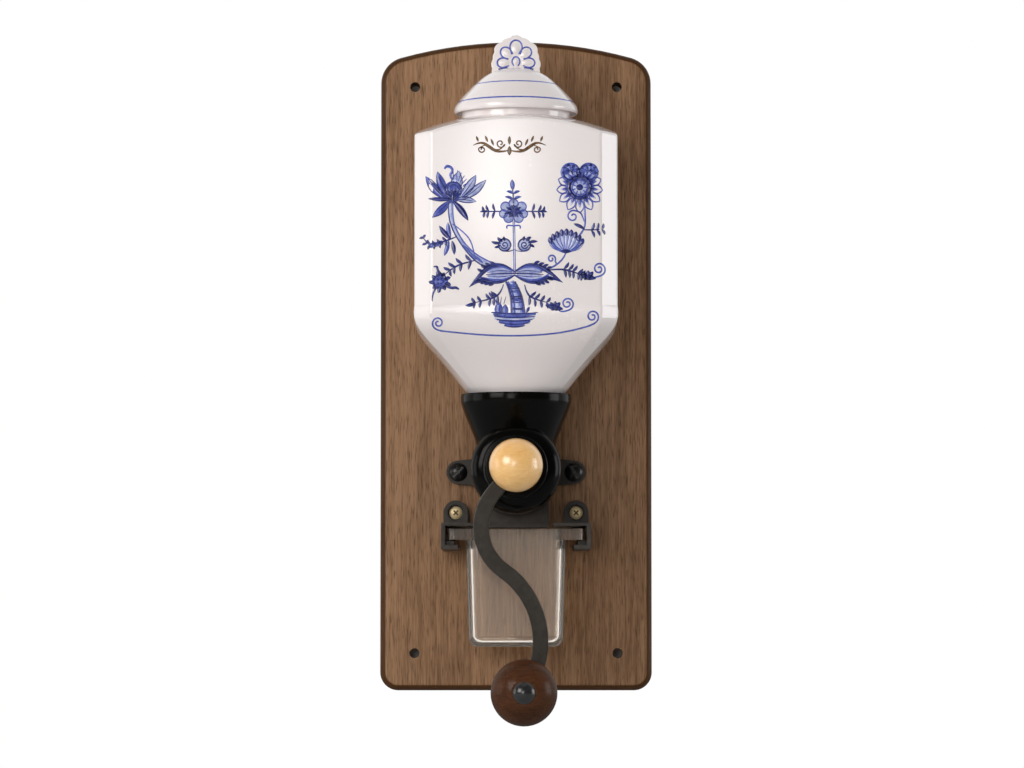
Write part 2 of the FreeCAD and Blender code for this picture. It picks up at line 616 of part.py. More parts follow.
def make_mill_housing():
    """Black funnel and drum in one casting, with a bush seat, screw bosses and a slot for the coffee."""
    band = D.funnel_rim_rise - D.funnel_rim_band
    funnel = turned("funnel_outside", [
        (0, 0), (D.funnel_throat_radius - D.drum_wall, 0), (D.funnel_throat_radius, D.funnel_throat_rise),
        (D.funnel_rim_radius - D.lip_thickness / 2, band), (D.funnel_rim_radius, band),
        (D.funnel_rim_radius, D.funnel_rim_rise), (0, D.funnel_rim_rise)], 0, jar_axis_out, axis_z, UP)
    edge = D.drum_edge_round
    drum = turned("drum_outside", [
        (0, 0), (D.drum_radius, 0), (D.drum_radius, D.drum_length - edge),
        (D.drum_radius - edge, D.drum_length, edge, 1), (0, D.drum_length)], 0, drum_back, axis_z)
    seat = D.spigot_depth + D.gasket_thickness
    seat_z = rim_z - seat
    socket = rod("funnel_socket", D.spigot_radius + D.loose_clearance, seat, 0, jar_axis_out, seat_z, UP)
    throat = D.funnel_throat_radius - D.funnel_wall
    fall = D.funnel_rim_rise - seat - D.funnel_throat_rise
    bowl = cone("funnel_bowl", throat, D.spigot_radius - D.jar_wall, fall, 0, jar_axis_out,
                axis_z + D.funnel_throat_rise, UP)
    well = rod("funnel_well", throat, D.funnel_throat_rise, 0, jar_axis_out, axis_z, UP)
    chamber = rod("drum_chamber", drum_bore, D.drum_length - D.drum_front_wall, 0, drum_back, axis_z)
    bush_seat = rod("front_bush_seat", D.spindle_radius + D.bush_wall + D.fit_clearance, D.drum_length,
                    0, drum_back, axis_z)
    slot_half = D.chute_width / 2 - D.chute_wall
    slot = box("coffee_slot", (slot_half * 2, D.burr_chamber - D.chute_wall, D.drum_radius),
               -slot_half, drum_back, axis_z - D.drum_radius - D.drum_wall)
    shell = cut("housing_shell", fuse("housing_outside", funnel, drum),
                socket, bowl, well, chamber, bush_seat, slot)
    bosses, drills, screws = [], [], []
    grip = D.burr_chamber - D.loose_clearance
    for i, sign in enumerate((-1, 1)):
        x = D.housing_screw_offset * sign
        bosses.append(rod(f"housing_boss_{i}", D.housing_boss_radius, grip, x, drum_back, axis_z))
        drills.append(rod(f"housing_drill_{i}", D.housing_screw_radius + D.fit_clearance, grip,
                          x, drum_back, axis_z))
        shank = rod(f"housing_shank_{i}", D.housing_screw_radius, D.base_thickness + grip - D.lip_thickness,
                    x, board_front, axis_z)
        head = cone(f"housing_head_{i}", D.housing_screw_radius * 2, D.housing_screw_radius,
                    D.housing_screw_radius, x, board_front, axis_z)
        screws.append(fuse(f"housing_screw_{i}", shank, head))
    node(cut("housing_drilled", fuse("housing_bossed", shell, *bosses), *drills), "mill_housing")
    node(group("housing_screws", *screws), "housing_screws")


def make_screw(name, radius, length, head_radius, head_height, slots, x, out, z, angle):
    """A domed screw whose head starts at the given point, with slots across the head."""
    shank = rod(name + "_shank", radius, length, 0, -length, 0)
    dome = (head_height * head_height + head_radius * head_radius) / (head_height * 2)
    head = turned(name + "_head", [(0, 0), (head_radius, 0), (0, head_height, dome, 1)], 0, 0, 0)
    half = head_radius * SLOT_WIDTH / 2
    tools = [plate(f"{name}_slot_{i}", [(-reach, -half), (reach, -half), (reach, half), (-reach, half)],
                   head_height, 0, head_height * SLOT_FLOOR, 0,
                   turn=OUT * FreeCAD.Rotation(Vector(0, 0, 1), turn))
             for i, (turn, reach) in enumerate(slots)]
    screw = cut(name, fuse(name + "_blank", shank, head), *tools)
    return place(screw, x, out, z, FreeCAD.Rotation(Vector(0, -1, 0), angle))


def make_mill_base():
    """Matte back plate with two lugs, the rear bearing boss and the chute, and its two screws."""
    lug, end = D.lug_span / 2, D.lug_radius
    root_half = D.lug_root_height
    disc = rod("base_disc", D.drum_radius, D.base_thickness, 0, board_front, axis_z)
    outline = [(-lug, -end), (0, -root_half), (lug, -end), (lug, end), (0, root_half), (-lug, end)]
    bar = plate("base_bar", outline, D.base_thickness, 0, board_front, axis_z)
    ends = [rod(f"lug_end_{i}", end, D.base_thickness, x, board_front, axis_z)
            for i, x in enumerate((-lug, lug))]
    bush_radius = D.spindle_radius + D.bush_wall
    boss = rod("rear_boss", bush_radius + D.bush_wall, D.bush_length - D.base_thickness / 2,
               0, drum_back, axis_z)

    half = D.chute_width / 2
    chute_top = axis_z - D.drum_radius / 2
    chute_bottom = rail_top - D.lip_thickness
    chute = box("chute_outside", (half * 2, D.chute_depth, chute_top - rail_top), -half, drum_back, rail_top)
    lip = box("chute_lip", (half * 2, D.chute_depth + D.lip_thickness, D.lip_thickness),
              -half, drum_back, chute_bottom)
    heel = box("chute_heel", (half * 2, D.base_thickness, chute_top - chute_bottom),
               -half, board_front, chute_bottom)
    drum_space = rod("chute_drum_space", D.drum_radius + D.fit_clearance, D.drum_length,
                     0, drum_back, axis_z)
    inner = half - D.chute_wall
    channel = box("chute_channel", (inner * 2, D.chute_depth - D.chute_wall, chute_top - chute_bottom),
                  -inner, drum_back, chute_bottom)
    spout = cut("chute_spout", fuse("chute_block", chute, lip), drum_space, channel)
    seat = rod("rear_bush_seat", bush_radius + D.fit_clearance, D.bush_length,
               0, drum_back - D.base_thickness / 2, axis_z)
    lug_hole = D.mill_screw_radius + D.fit_clearance
    holes = [rod(f"lug_hole_{i}", lug_hole, D.base_thickness, x, board_front, axis_z)
             for i, x in enumerate((-lug, lug))]
    for i, sign in enumerate((-1, 1)):
        x = D.housing_screw_offset * sign
        radius = D.housing_screw_radius + D.fit_clearance
        holes.append(rod(f"base_hole_{i}", radius, D.base_thickness, x, board_front, axis_z))
        holes.append(cone(f"base_sink_{i}", D.housing_screw_radius * 2 + D.fit_clearance, radius,
                          D.housing_screw_radius, x, board_front, axis_z))
    whole = fuse("base_whole", disc, bar, boss, heel, spout, *ends)
    node(cut("base_drilled", whole, seat, *holes), "mill_base")

    bite = D.screw_bite + D.base_thickness
    screws = [make_screw(f"mill_screw_{i}", D.mill_screw_radius, bite, D.mill_screw_head, D.mill_screw_dome,
                         [(0, D.mill_screw_head)], x, drum_back, axis_z, angle)
              for i, (x, angle) in enumerate(zip((-lug, lug), MILL_SLOT_ANGLES))]
    node(group("mill_screws", *screws), "mill_screws")


def burr_cuts(name, count, inner, outer, width, length, out):
    """Grooves between the teeth of a burr, spread evenly round the spindle axis."""
    outline = [(-width / 2, inner), (width / 2, inner), (width / 2, outer), (-width / 2, outer)]
    return [plate(f"{name}_{i}", outline, length, 0, out, axis_z,
                  turn=OUT * FreeCAD.Rotation(Vector(0, 0, 1), 360 * i / count)) for i in range(count)]


def make_burrs():
    """Outer burr ring pressed into the drum, and the inner cone on the spindle."""
    ring = rod("outer_burr_blank", drum_bore - D.fit_clearance, D.burr_length, 0, burr_back, axis_z)
    bore = cone("outer_burr_bore_cone", D.outer_burr_bore, D.outer_burr_mouth, D.burr_length,
                0, burr_back, axis_z)
    teeth = burr_cuts("outer_groove", OUTER_TEETH, D.spindle_radius * 2, D.outer_burr_mouth + D.burr_gap,
                      D.outer_groove, D.burr_length, burr_back)
    node(cut("outer_burr_cut", ring, bore, *teeth), "outer_burr")

    wide = D.outer_burr_bore - D.burr_gap
    blank = cone("inner_burr_blank", wide, D.inner_burr_nose, D.burr_length, 0, burr_back, axis_z)
    bore = rod("inner_burr_bore", D.spindle_radius + D.fit_clearance, D.burr_length, 0, burr_back, axis_z)
    teeth = burr_cuts("inner_groove", INNER_TEETH, D.inner_burr_nose - D.groove_depth, wide + D.burr_gap,
                      D.inner_groove, D.burr_length, burr_back)
    node(cut("inner_burr_cut", blank, bore, *teeth), "inner_burr")


def sleeve(label, radius, bore, length, out, z=None, x=0):
    """A plain ring along the spindle axis, or another axis parallel to it."""
    z = axis_z if z is None else z
    ring = rod(label + "_ring", radius, length, x, out, z)
    return cut(label + "_sleeve", ring, rod(label + "_bore", bore, length, x, out, z))


def make_spindle():
    """Spindle with its bushes, pressure spring, thrust washer and adjusting nut."""
    running = D.spindle_radius + D.fit_clearance
    bush_radius = D.spindle_radius + D.bush_wall
    rear_start = drum_back - D.base_thickness / 2
    thread_end = arm_front + D.insert_length - D.insert_radius / 2
    shaft = rod("spindle_shaft", D.spindle_radius, arm_back - rear_start - D.loose_clearance,
                0, rear_start + D.loose_clearance, axis_z)
    thread = rod("spindle_thread", D.spindle_thread_radius, thread_end - arm_back, 0, arm_back, axis_z)
    node(fuse("spindle_whole", shaft, thread), "spindle")
    node(sleeve("rear_bush", bush_radius, running, D.bush_length, rear_start), "rear_bush")
    barrel = sleeve("front_bush_barrel", bush_radius, running, D.bush_length, drum_front - D.bush_length)
    flange = sleeve("front_bush_flange", bush_radius + D.bush_wall, running, D.bush_wall, drum_front)
    node(fuse("front_bush_whole", barrel, flange), "front_bush")
    spring_length = drum_front - D.bush_length - burr_front - D.loose_clearance
    spring_bore = D.spring_radius - D.spring_wall
    node(sleeve("pressure_spring", D.spring_radius, spring_bore, spring_length, burr_front), "pressure_spring")
    node(sleeve("thrust_washer", D.thrust_radius, D.spindle_radius + D.loose_clearance, D.thrust_thickness,
                thrust_back), "thrust_washer")
    disc, thick, hub, soft = D.nut_radius, D.nut_disc, D.nut_hub_radius, D.nut_edge_round
    node(turned("adjusting_nut", [
        (running, 0), (disc - soft, 0), (disc, soft, soft, 1), (disc, thick - soft),
        (disc - soft, thick, soft, 1), (hub, thick), (hub, D.nut_length),
        (running, D.nut_length)], 0, nut_back, axis_z), "adjusting_nut")


def arc_edge(centre, start, end):
    """The shorter circle arc round a centre, from start to end."""
    first = math.atan2(start.y - centre.y, start.x - centre.x)
    sweep = math.atan2(end.y - centre.y, end.x - centre.x) - first
    sweep = (sweep + math.pi) % (2 * math.pi) - math.pi
    reach = (start - centre).Length
    middle = centre + Vector(math.cos(first + sweep / 2), math.sin(first + sweep / 2), 0) * reach
    return Part.Arc(start, middle, end).toShape()


def arm_outline():
    """The S of the arm about the spindle: a straight run and two bends, each tangent to the next."""
    lead = math.radians(D.arm_lead_angle.value)
    upper, lower, half = D.arm_upper_radius.value, D.arm_lower_radius.value, D.arm_width.value / 2
    ahead = Vector(-math.sin(lead), -math.cos(lead), 0)
    left = Vector(-ahead.y, ahead.x, 0)
    handle = Vector(D.handle_side.value, -D.handle_drop.value, 0)
    run_end = ahead * D.arm_straight.value
    upper_centre = run_end + left * upper
    gap = handle - upper_centre
    along = ((upper + lower) ** 2 - lower ** 2 + gap.Length ** 2) / (2 * gap.Length)
    across = math.sqrt((upper + lower) ** 2 - along ** 2)
    gap.normalize()
    lower_centre = upper_centre + gap * along + Vector(gap.y, -gap.x, 0) * across
    turn = upper_centre + (lower_centre - upper_centre) * (upper / (upper + lower))

    def beside(point, centre, offset):
        away = (point - centre).normalize()
        return point + away * offset

    inner = [left * half, beside(run_end, upper_centre, -half), beside(turn, upper_centre, -half),
             beside(handle, lower_centre, half)]
    outer = [left * -half, beside(run_end, upper_centre, half), beside(turn, upper_centre, half),
             beside(handle, lower_centre, -half)]
    edges = []
    for side in (inner, outer):
        edges.append(Part.LineSegment(side[0], side[1]).toShape())
        edges.append(arc_edge(upper_centre, side[1], side[2]))
        edges.append(arc_edge(lower_centre, side[2], side[3]))
    edges.append(Part.LineSegment(inner[3], outer[3]).toShape())
    edges.append(Part.LineSegment(inner[0], outer[0]).toShape())
    return Part.Wire(Part.__sortEdges__(edges))


def make_crank():
    """Flat S-curved arm with its eyes, and the wooden ball nut with its insert."""
    bar = doc.addObject("Part::Feature", "arm_bar")
    bar.Shape = Part.Face(arm_outline()).extrude(Vector(0, 0, D.arm_thickness.value))
    place(bar, 0, arm_back, axis_z, OUT)
    hub = rod("arm_hub", D.arm_hub_radius, D.arm_thickness, 0, arm_back, axis_z)
    eye = rod("arm_eye", D.arm_eye_radius, D.arm_thickness, D.handle_side, arm_back, handle_z)
    holes = [rod("arm_hub_hole", D.spindle_thread_radius + D.fit_clearance, D.arm_thickness,
                 0, arm_back, axis_z),
             rod("arm_eye_hole", D.axle_radius + D.fit_clearance, D.arm_thickness,
                 D.handle_side, arm_back, handle_z)]
    node(cut("arm_drilled", fuse("arm_whole", bar, hub, eye), *holes), "crank_arm")

    hole = D.insert_radius + D.fit_clearance
    crown = D.ball_radius + root(D.ball_radius * D.ball_radius - D.ball_seat * D.ball_seat)
    node(turned("ball_knob", [
        (0, D.insert_length), (hole, D.insert_length), (hole, 0), (D.ball_seat, 0),
        (0, crown, D.ball_radius, 1)], 0, arm_front, axis_z), "ball_knob")
    node(sleeve("ball_insert", D.insert_radius, D.spindle_thread_radius + D.fit_clearance,
                D.insert_length - D.loose_clearance, arm_front), "ball_insert")


def make_handle():
    """Turned wooden knob that spins on a domed rivet, with a washer behind it."""
    washer = D.handle_washer_thickness
    node(sleeve("handle_washer", D.handle_washer_radius, D.axle_radius + D.fit_clearance, washer,
                arm_front, handle_z, D.handle_side), "handle_washer")
    running = D.axle_radius + D.fit_clearance
    knob_back = arm_front + washer + D.loose_clearance
    neck, belly, face = D.knob_neck_radius, D.knob_radius, D.axle_head_radius + D.knob_face_margin
    node(turned("handle_knob", [
        (running, 0), (neck, 0), (neck, D.knob_neck_length), (belly, D.knob_widest, belly, 1),
        (face, D.knob_length, belly, 1), (running, D.knob_length)],
        D.handle_side, knob_back, handle_z), "handle_knob")
    head_back = knob_back + D.knob_length + D.loose_clearance
    high, wide = D.axle_head_height, D.axle_head_radius
    dome = (high * high + wide * wide) / (high * 2)
    head = turned("axle_head", [(0, 0), (wide, 0), (0, high, dome, 1)], D.handle_side, head_back, handle_z)
    shank = rod("axle_shank", D.axle_radius, head_back - arm_back, D.handle_side, arm_back, handle_z)
    node(fuse("axle_whole", shank, head), "handle_axle")


def make_rails():
    """A mirrored pair of C-rails with screw ears, and their brass screws."""
    def side_box(name, sign, near, far, depth, out, low, high):
        x = near if sign > 0 else -far
        return box(name, (far - near, depth, high - low), x, out, low)

    screws = []
    lip_top = rail_top - D.rail_height + D.rail_wall
    lip_edge = D.rail_half_width - D.rail_lip
    wall_edge = D.rail_half_width - D.rail_wall
    for sign, label in ((-1, "left_rail"), (1, "right_rail")):
        x = D.ear_side * sign
        ear = rod(label + "_ear", D.ear_radius, D.ear_thickness, x, board_front, ear_z)
        web = box(label + "_web", (D.ear_radius * 2, D.ear_thickness, D.ear_rise + D.lip_thickness),
                  x - D.ear_radius, board_front, rail_top - D.lip_thickness)
        top = side_box(label + "_top", sign, D.rail_inner, D.rail_half_width, D.rail_length, board_front,
                       rail_top - D.lip_thickness, rail_top)
        wall = side_box(label + "_wall", sign, wall_edge, D.rail_half_width, D.rail_length, board_front,
                        rail_top - D.rail_height, rail_top)
        lip = side_box(label + "_lip", sign, lip_edge, D.rail_half_width, D.rail_length, board_front,
                       rail_top - D.rail_height, lip_top)
        runner = side_box(label + "_runner", sign, lip_edge + D.rail_wall, wall_edge,
                          D.rail_length - D.runner_setback, board_front, lip_top, lip_top + D.runner_height)
        hole = rod(label + "_hole", D.rail_screw_radius + D.fit_clearance, D.ear_thickness,
                   x, board_front, ear_z)
        recess = rod(label + "_recess", D.rail_recess_radius, D.rail_recess_depth, x,
                     board_front + D.ear_thickness - D.rail_recess_depth, ear_z)
        whole = fuse(label + "_whole", ear, web, top, wall, lip, runner)
        node(cut(label + "_cut", whole, hole, recess), label)
        head_out = board_front + D.ear_thickness - D.rail_recess_depth
        cross = [(0, D.rail_screw_head / 2), (90, D.rail_screw_head / 2)]
        screws.append(make_screw(label + "_screw", D.rail_screw_radius, D.screw_bite + head_out - board_front,
                                 D.rail_screw_head, D.rail_screw_dome, cross,
                                 x, head_out, ear_z, RAIL_SLOT_ANGLE))
    node(group("rail_screws", *screws), "rail_screws")


def rounded_rectangle(width, depth, corner, z):
    """A flat rectangle wire with round corners about the Z axis."""
    x, y = width / 2, depth / 2
    edges = []
    for px, py, angle in ((x, y, 0), (-x, y, 90), (-x, -y, 180), (x, -y, 270)):
        centre = Vector(px - math.copysign(corner, px), py - math.copysign(corner, py), z)
        turns = [math.radians(angle + turn) for turn in (0, 45, 90)]
        edges.append([centre + Vector(math.cos(turn), math.sin(turn), 0) * corner for turn in turns])
    lines = []
    for first, second in zip(edges, edges[1:] + edges[:1]):
        lines.append(Part.Arc(*first).toShape())
        lines.append(Part.LineSegment(first[2], second[0]).toShape())
    return Part.Wire(lines)


def make_catch_cup():
    """Clear cup with leaning sides, and a flange that rides on the rails' runners."""
    flange_low = rail_top - D.rail_height + D.rail_wall + D.runner_height + D.loose_clearance
    flange_depth = D.cup_depth + D.flange_front * 2
    flange_out = board_front + D.cup_gap
    centre_out = flange_out + flange_depth / 2
    wall, drop, corner = D.cup_wall.value, D.cup_height.value, D.cup_corner.value
    lean = D.cup_draft.value * 2
    rise = D.flange_thickness.value

    def tub(shrink, top, bottom, foot_round):
        mouth = rounded_rectangle(D.cup_top_width.value - 2 * shrink, D.cup_depth.value - 2 * shrink,
                                  corner - shrink / 2, top)
        foot = rounded_rectangle(D.cup_bottom_width.value - 2 * shrink, D.cup_depth.value - lean - 2 * shrink,
                                 corner - shrink / 2, bottom)
        solid = Part.makeLoft([foot, mouth], True, True)
        low = [edge for edge in solid.Edges if edge.BoundBox.ZMax < bottom + 1e-3]
        return solid.makeFillet(foot_round, low)

    outside = tub(0.0, rise, -drop, corner - wall / 2)
    inside = tub(wall, rise, -drop + wall, corner - wall)
    brim = Part.Face(rounded_rectangle(2 * D.flange_half_width.value, flange_depth.value, wall, 0.0))
    shape = brim.extrude(Vector(0, 0, rise)).fuse(outside).cut(inside).removeSplitter()
    cup = doc.addObject("Part::Feature", "catch_cup")
    cup.Shape = shape
    node(place(cup, 0, centre_out, flange_low), "catch_cup")


def check_and_write():
    """Stop on any failed object or bad shape, then write every piece to its own file."""
    doc.recompute()
    for obj in doc.Objects:
        if "Invalid" in obj.State or "Error" in obj.State:
            raise RuntimeError(f"{obj.Label} failed: {obj.State}")
    for obj in nodes:
        if obj.Shape.isNull() or not obj.Shape.isValid():
            raise RuntimeError(f"{obj.Label} has no valid shape")
    os.makedirs("parts", exist_ok=True)
    for obj in nodes:
        obj.Shape.exportStep(f"parts/{obj.Label}.step")
        print(f"{obj.Label}: {len(obj.Shape.Solids)} solid(s), {obj.Shape.Volume:.1f} mm3")


make_backboard()
make_hopper()
make_lid()
make_mill_housing()
make_mill_base()
make_burrs()
make_spindle()
make_crank()
make_handle()
make_rails()
make_catch_cup()
check_and_write()
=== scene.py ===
"""Dresses a wall-mounted hand coffee mill: porcelain jar and lid, black mill, crank and clear cup.

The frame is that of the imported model, in metres: +Z is up, the front faces -Y, and the wall side of the
board is the plane Y = 0. "Out" is the distance from the wall, so Y = -out. Pieces are described in
millimetres and scaled by MM, and the studio is described in metres.
"""
import json
import logging
import math
from collections.abc import Callable, Iterable, Sequence
from dataclasses import dataclass, field
from enum import Enum

import bmesh
import bpy
from mathutils import Matrix, Vector
from mathutils.bvhtree import BVHTree


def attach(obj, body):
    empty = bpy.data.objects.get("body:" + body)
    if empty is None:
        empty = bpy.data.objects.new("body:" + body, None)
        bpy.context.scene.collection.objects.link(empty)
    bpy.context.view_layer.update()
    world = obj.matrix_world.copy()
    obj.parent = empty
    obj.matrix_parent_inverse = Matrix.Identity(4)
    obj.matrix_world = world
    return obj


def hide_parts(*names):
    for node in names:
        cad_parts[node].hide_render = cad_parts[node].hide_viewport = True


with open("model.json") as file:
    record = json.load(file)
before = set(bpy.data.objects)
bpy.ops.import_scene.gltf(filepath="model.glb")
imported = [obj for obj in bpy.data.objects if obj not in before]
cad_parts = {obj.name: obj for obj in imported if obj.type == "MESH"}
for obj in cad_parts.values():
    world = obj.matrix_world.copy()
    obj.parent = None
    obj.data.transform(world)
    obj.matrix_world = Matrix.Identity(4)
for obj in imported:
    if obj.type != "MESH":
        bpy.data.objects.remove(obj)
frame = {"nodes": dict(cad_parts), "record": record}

LOG = logging.getLogger("coffee_mill")
MM = 0.001
QUARTER = math.pi / 2
MERGE = 1e-7
WELD = 1e-6
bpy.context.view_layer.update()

Colour = tuple[float, float, float]
Point = tuple[float, float]
Place = tuple[float, float, float]
Sockets = tuple[tuple[str, str], ...]


class Body(Enum):
    """The moving groups that a new piece can ride on."""

    BASE = "base"
    CRANK = "crank"
    LID = "lid"


class NodeGraph:
    """Short calls that add and join the nodes of one shader tree."""

    def __init__(self, tree: bpy.types.NodeTree) -> None:
        """Keep the tree that the nodes go into."""
        self.tree = tree

    def feed(self, socket: bpy.types.NodeSocket, value: object) -> None:
        """Join an output to an input, or set the input to a constant.

        Args:
            socket: The input.
            value: An output socket, a number, a vector or a colour.
        """
        if isinstance(value, bpy.types.NodeSocket):
            self.tree.links.new(value, socket)
        elif socket.type == "RGBA":
            socket.default_value = (*value[:3], 1.0)
        else:
            socket.default_value = value

    def add(self, kind: str, inputs: dict[str | int, object] | None = None,
            **settings: object) -> bpy.types.Node:
        """Add a node.

        Args:
            kind: The node's type, such as "ShaderNodeMath".
            inputs: For each input, a constant or the output socket that feeds it.
            settings: Properties of the node.

        Returns:
            The new node.
        """
        node = self.tree.nodes.new(kind)
        for name, value in settings.items():
            setattr(node, name, value)
        for name, value in (inputs or {}).items():
            self.feed(node.inputs[name], value)
        return node

    def math(self, operation: str, first: object, second: object = 0.0,
             clamp: bool = False) -> bpy.types.NodeSocket:
        """Join two values with a Math node and return its output."""
        node = self.add("ShaderNodeMath", {0: first, 1: second}, operation=operation, use_clamp=clamp)
        return node.outputs[0]

    def span(self, value: object, low: float, high: float, start: float = 0.0,
             end: float = 1.0) -> bpy.types.NodeSocket:
        """Map a value from low..high to start..end with soft ends.

        Args:
            value: A number or a socket.
            low: The value that gives start.
            high: The value that gives end.
            start: The result at and below low.
            end: The result at and above high.

        Returns:
            The mapped value.
        """
        inputs = {"Value": value, "From Min": low, "From Max": high, "To Min": start, "To Max": end}
        node = self.add("ShaderNodeMapRange", inputs, interpolation_type="SMOOTHSTEP", clamp=True)
        return node.outputs["Result"]

    def stretch(self, vector: object, scale: object) -> bpy.types.NodeSocket:
        """Multiply a vector by another, part by part, and return the output."""
        return self.add("ShaderNodeVectorMath", {0: vector, 1: scale}, operation="MULTIPLY").outputs[0]

    def part(self, vector: object, index: int) -> bpy.types.NodeSocket:
        """Give one of the three parts of a vector."""
        return self.add("ShaderNodeSeparateXYZ", {0: vector}).outputs[index]

    def noise(self, vector: object, scale: object, detail: float = 2.0,
              warp: float = 0.0) -> bpy.types.NodeSocket:
        """Add a noise texture and return its value."""
        inputs = {"Vector": vector, "Scale": scale, "Detail": detail, "Distortion": warp}
        return self.add("ShaderNodeTexNoise", inputs).outputs["Fac"]

    def mix(self, share: object, first: object, second: object) -> bpy.types.NodeSocket:
        """Mix two colours and return the output."""
        inputs = {0: share, 6: first, 7: second}
        return self.add("ShaderNodeMix", inputs, data_type="RGBA", clamp_factor=True).outputs[2]

    def bump(self, height: object, strength: float, depth: float) -> bpy.types.NodeSocket:
        """Add a Bump node and return its normal."""
        inputs = {"Height": height, "Strength": strength, "Distance": depth}
        return self.add("ShaderNodeBump", inputs).outputs["Normal"]

    def geometry(self, output: str) -> bpy.types.NodeSocket:
        """Give an output of a Geometry node."""
        return self.add("ShaderNodeNewGeometry").outputs[output]


@dataclass(frozen=True)
class Effect:
    """A shader node group that several finishes share, built once."""

    name: str
    inputs: Sockets
    outputs: Sockets
    wire: Callable[[NodeGraph, bpy.types.NodeOutputs], dict[str, object]]

    def tree(self) -> bpy.types.NodeTree:
        """Give the group's tree, and build it the first time.

        Returns:
            The tree that every use of the group shares.
        """
        known = bpy.data.node_groups.get(self.name)
        if known:
            return known
        tree = bpy.data.node_groups.new(self.name, "ShaderNodeTree")
        for direction, sockets in (("INPUT", self.inputs), ("OUTPUT", self.outputs)):
            for label, kind in sockets:
                tree.interface.new_socket(label, in_out=direction, socket_type=f"NodeSocket{kind}")
        graph = NodeGraph(tree)
        results = self.wire(graph, graph.add("NodeGroupInput").outputs)
        graph.add("NodeGroupOutput", results)
        return tree

    def place(self, graph: NodeGraph, *values: object) -> bpy.types.NodeOutputs:
        """Put the group into a material.

        Args:
            graph: The material's nodes.
            values: A constant or a socket for each of the group's inputs, in their order.

        Returns:
            The group's outputs, under the names of the effect.
        """
        inputs = {label: value for (label, _), value in zip(self.inputs, values, strict=True)}
        return graph.add("ShaderNodeGroup", inputs, node_tree=self.tree()).outputs


PORE_SHADOW: Colour = (0.012, 0.007, 0.004)


def wire_wood(graph: NodeGraph, given: bpy.types.NodeOutputs) -> dict[str, object]:
    """Grain that runs along local Z: broad bands, fine streaks and short flecks and pores.

    Args:
        graph: The group's nodes.
        given: The group's inputs.

    Returns:
        What feeds each output of the group.
    """
    across, along = given["Across"], given["Along"]
    lengths = graph.add("ShaderNodeCombineXYZ", {0: across, 1: across, 2: along}).outputs[0]
    fibre = graph.stretch(given["Vector"], lengths)
    bands = graph.noise(graph.stretch(fibre, (0.22, 0.22, 0.5)), 1.0, 3.0, 0.6)
    streaks = graph.noise(fibre, 1.0, 5.0, 0.25)
    hairs = graph.noise(graph.stretch(fibre, (9.0, 9.0, 5.0)), 1.0, 3.0)
    flecks = graph.noise(graph.stretch(fibre, (20.0, 20.0, 17.0)), 1.0, 2.0)
    pore_mask = graph.math("MULTIPLY", graph.span(flecks, 0.54, 0.70), given["Pores"])
    tone = graph.span(bands, 0.3, 0.7, 0.0, 0.3)
    tone = graph.math("ADD", tone, graph.span(streaks, 0.3, 0.7, 0.05, 0.45))
    tone = graph.math("ADD", tone, graph.span(hairs, 0.3, 0.7, -0.2, 0.3))
    tone = graph.math("ADD", tone, graph.span(flecks, 0.3, 0.5, -0.22, 0.0), clamp=True)
    colour = graph.mix(tone, given["Pale"], given["Deep"])
    colour = graph.mix(pore_mask, colour, graph.mix(0.5, given["Deep"], PORE_SHADOW))
    height = graph.math("SUBTRACT", graph.math("MULTIPLY", streaks, 0.35), pore_mask)
    return {"Color": colour, "Height": height, "Pore Mask": pore_mask}


def wire_mottle(graph: NodeGraph, given: bpy.types.NodeOutputs) -> dict[str, object]:
    """Slow and fine variation for cast, moulded and glazed surfaces.

    Args:
        graph: The group's nodes.
        given: The group's inputs.

    Returns:
        What feeds each output of the group.
    """
    fineness, middle = 11.0, 0.5
    cloud = graph.noise(given["Vector"], given["Scale"], 3.0)
    fine = graph.noise(given["Vector"], graph.math("MULTIPLY", given["Scale"], fineness), 2.0)
    swing = graph.math("MULTIPLY", graph.math("SUBTRACT", cloud, middle), given["Amount"])
    grain = graph.math("MULTIPLY", graph.math("SUBTRACT", fine, middle), given["Amount"])
    rough = graph.math("ADD", given["Roughness"], graph.math("ADD", swing, grain), clamp=True)
    change = graph.math("ADD", graph.math("MULTIPLY", swing, 2.0), grain)
    return {"Shade": graph.math("ADD", middle, change, clamp=True), "Roughness": rough}


def wire_edges(graph: NodeGraph, given: bpy.types.NodeOutputs) -> dict[str, object]:
    """Worn outer edges, broken up by noise.

    Args:
        graph: The group's nodes.
        given: The group's inputs.

    Returns:
        What feeds each output of the group.
    """
    sharp = graph.span(graph.geometry("Pointiness"), 0.515, 0.58)
    patches = graph.span(graph.noise(given["Vector"], given["Scale"], 3.0), 0.35, 0.65, 0.35, 1.0)
    mask = graph.math("MULTIPLY", sharp, patches)
    return {"Mask": graph.math("MULTIPLY", mask, given["Amount"], clamp=True)}


def wire_dust(graph: NodeGraph, given: bpy.types.NodeOutputs) -> dict[str, object]:
    """Fine dust on what faces up.

    Args:
        graph: The group's nodes.
        given: The group's inputs.

    Returns:
        What feeds each output of the group.
    """
    upward = graph.span(graph.part(graph.geometry("Normal"), 2), 0.55, 0.98)
    patches = graph.span(graph.noise(given["Vector"], given["Scale"], 4.0), 0.35, 0.75)
    mask = graph.math("MULTIPLY", upward, patches)
    return {"Mask": graph.math("MULTIPLY", mask, given["Amount"], clamp=True)}


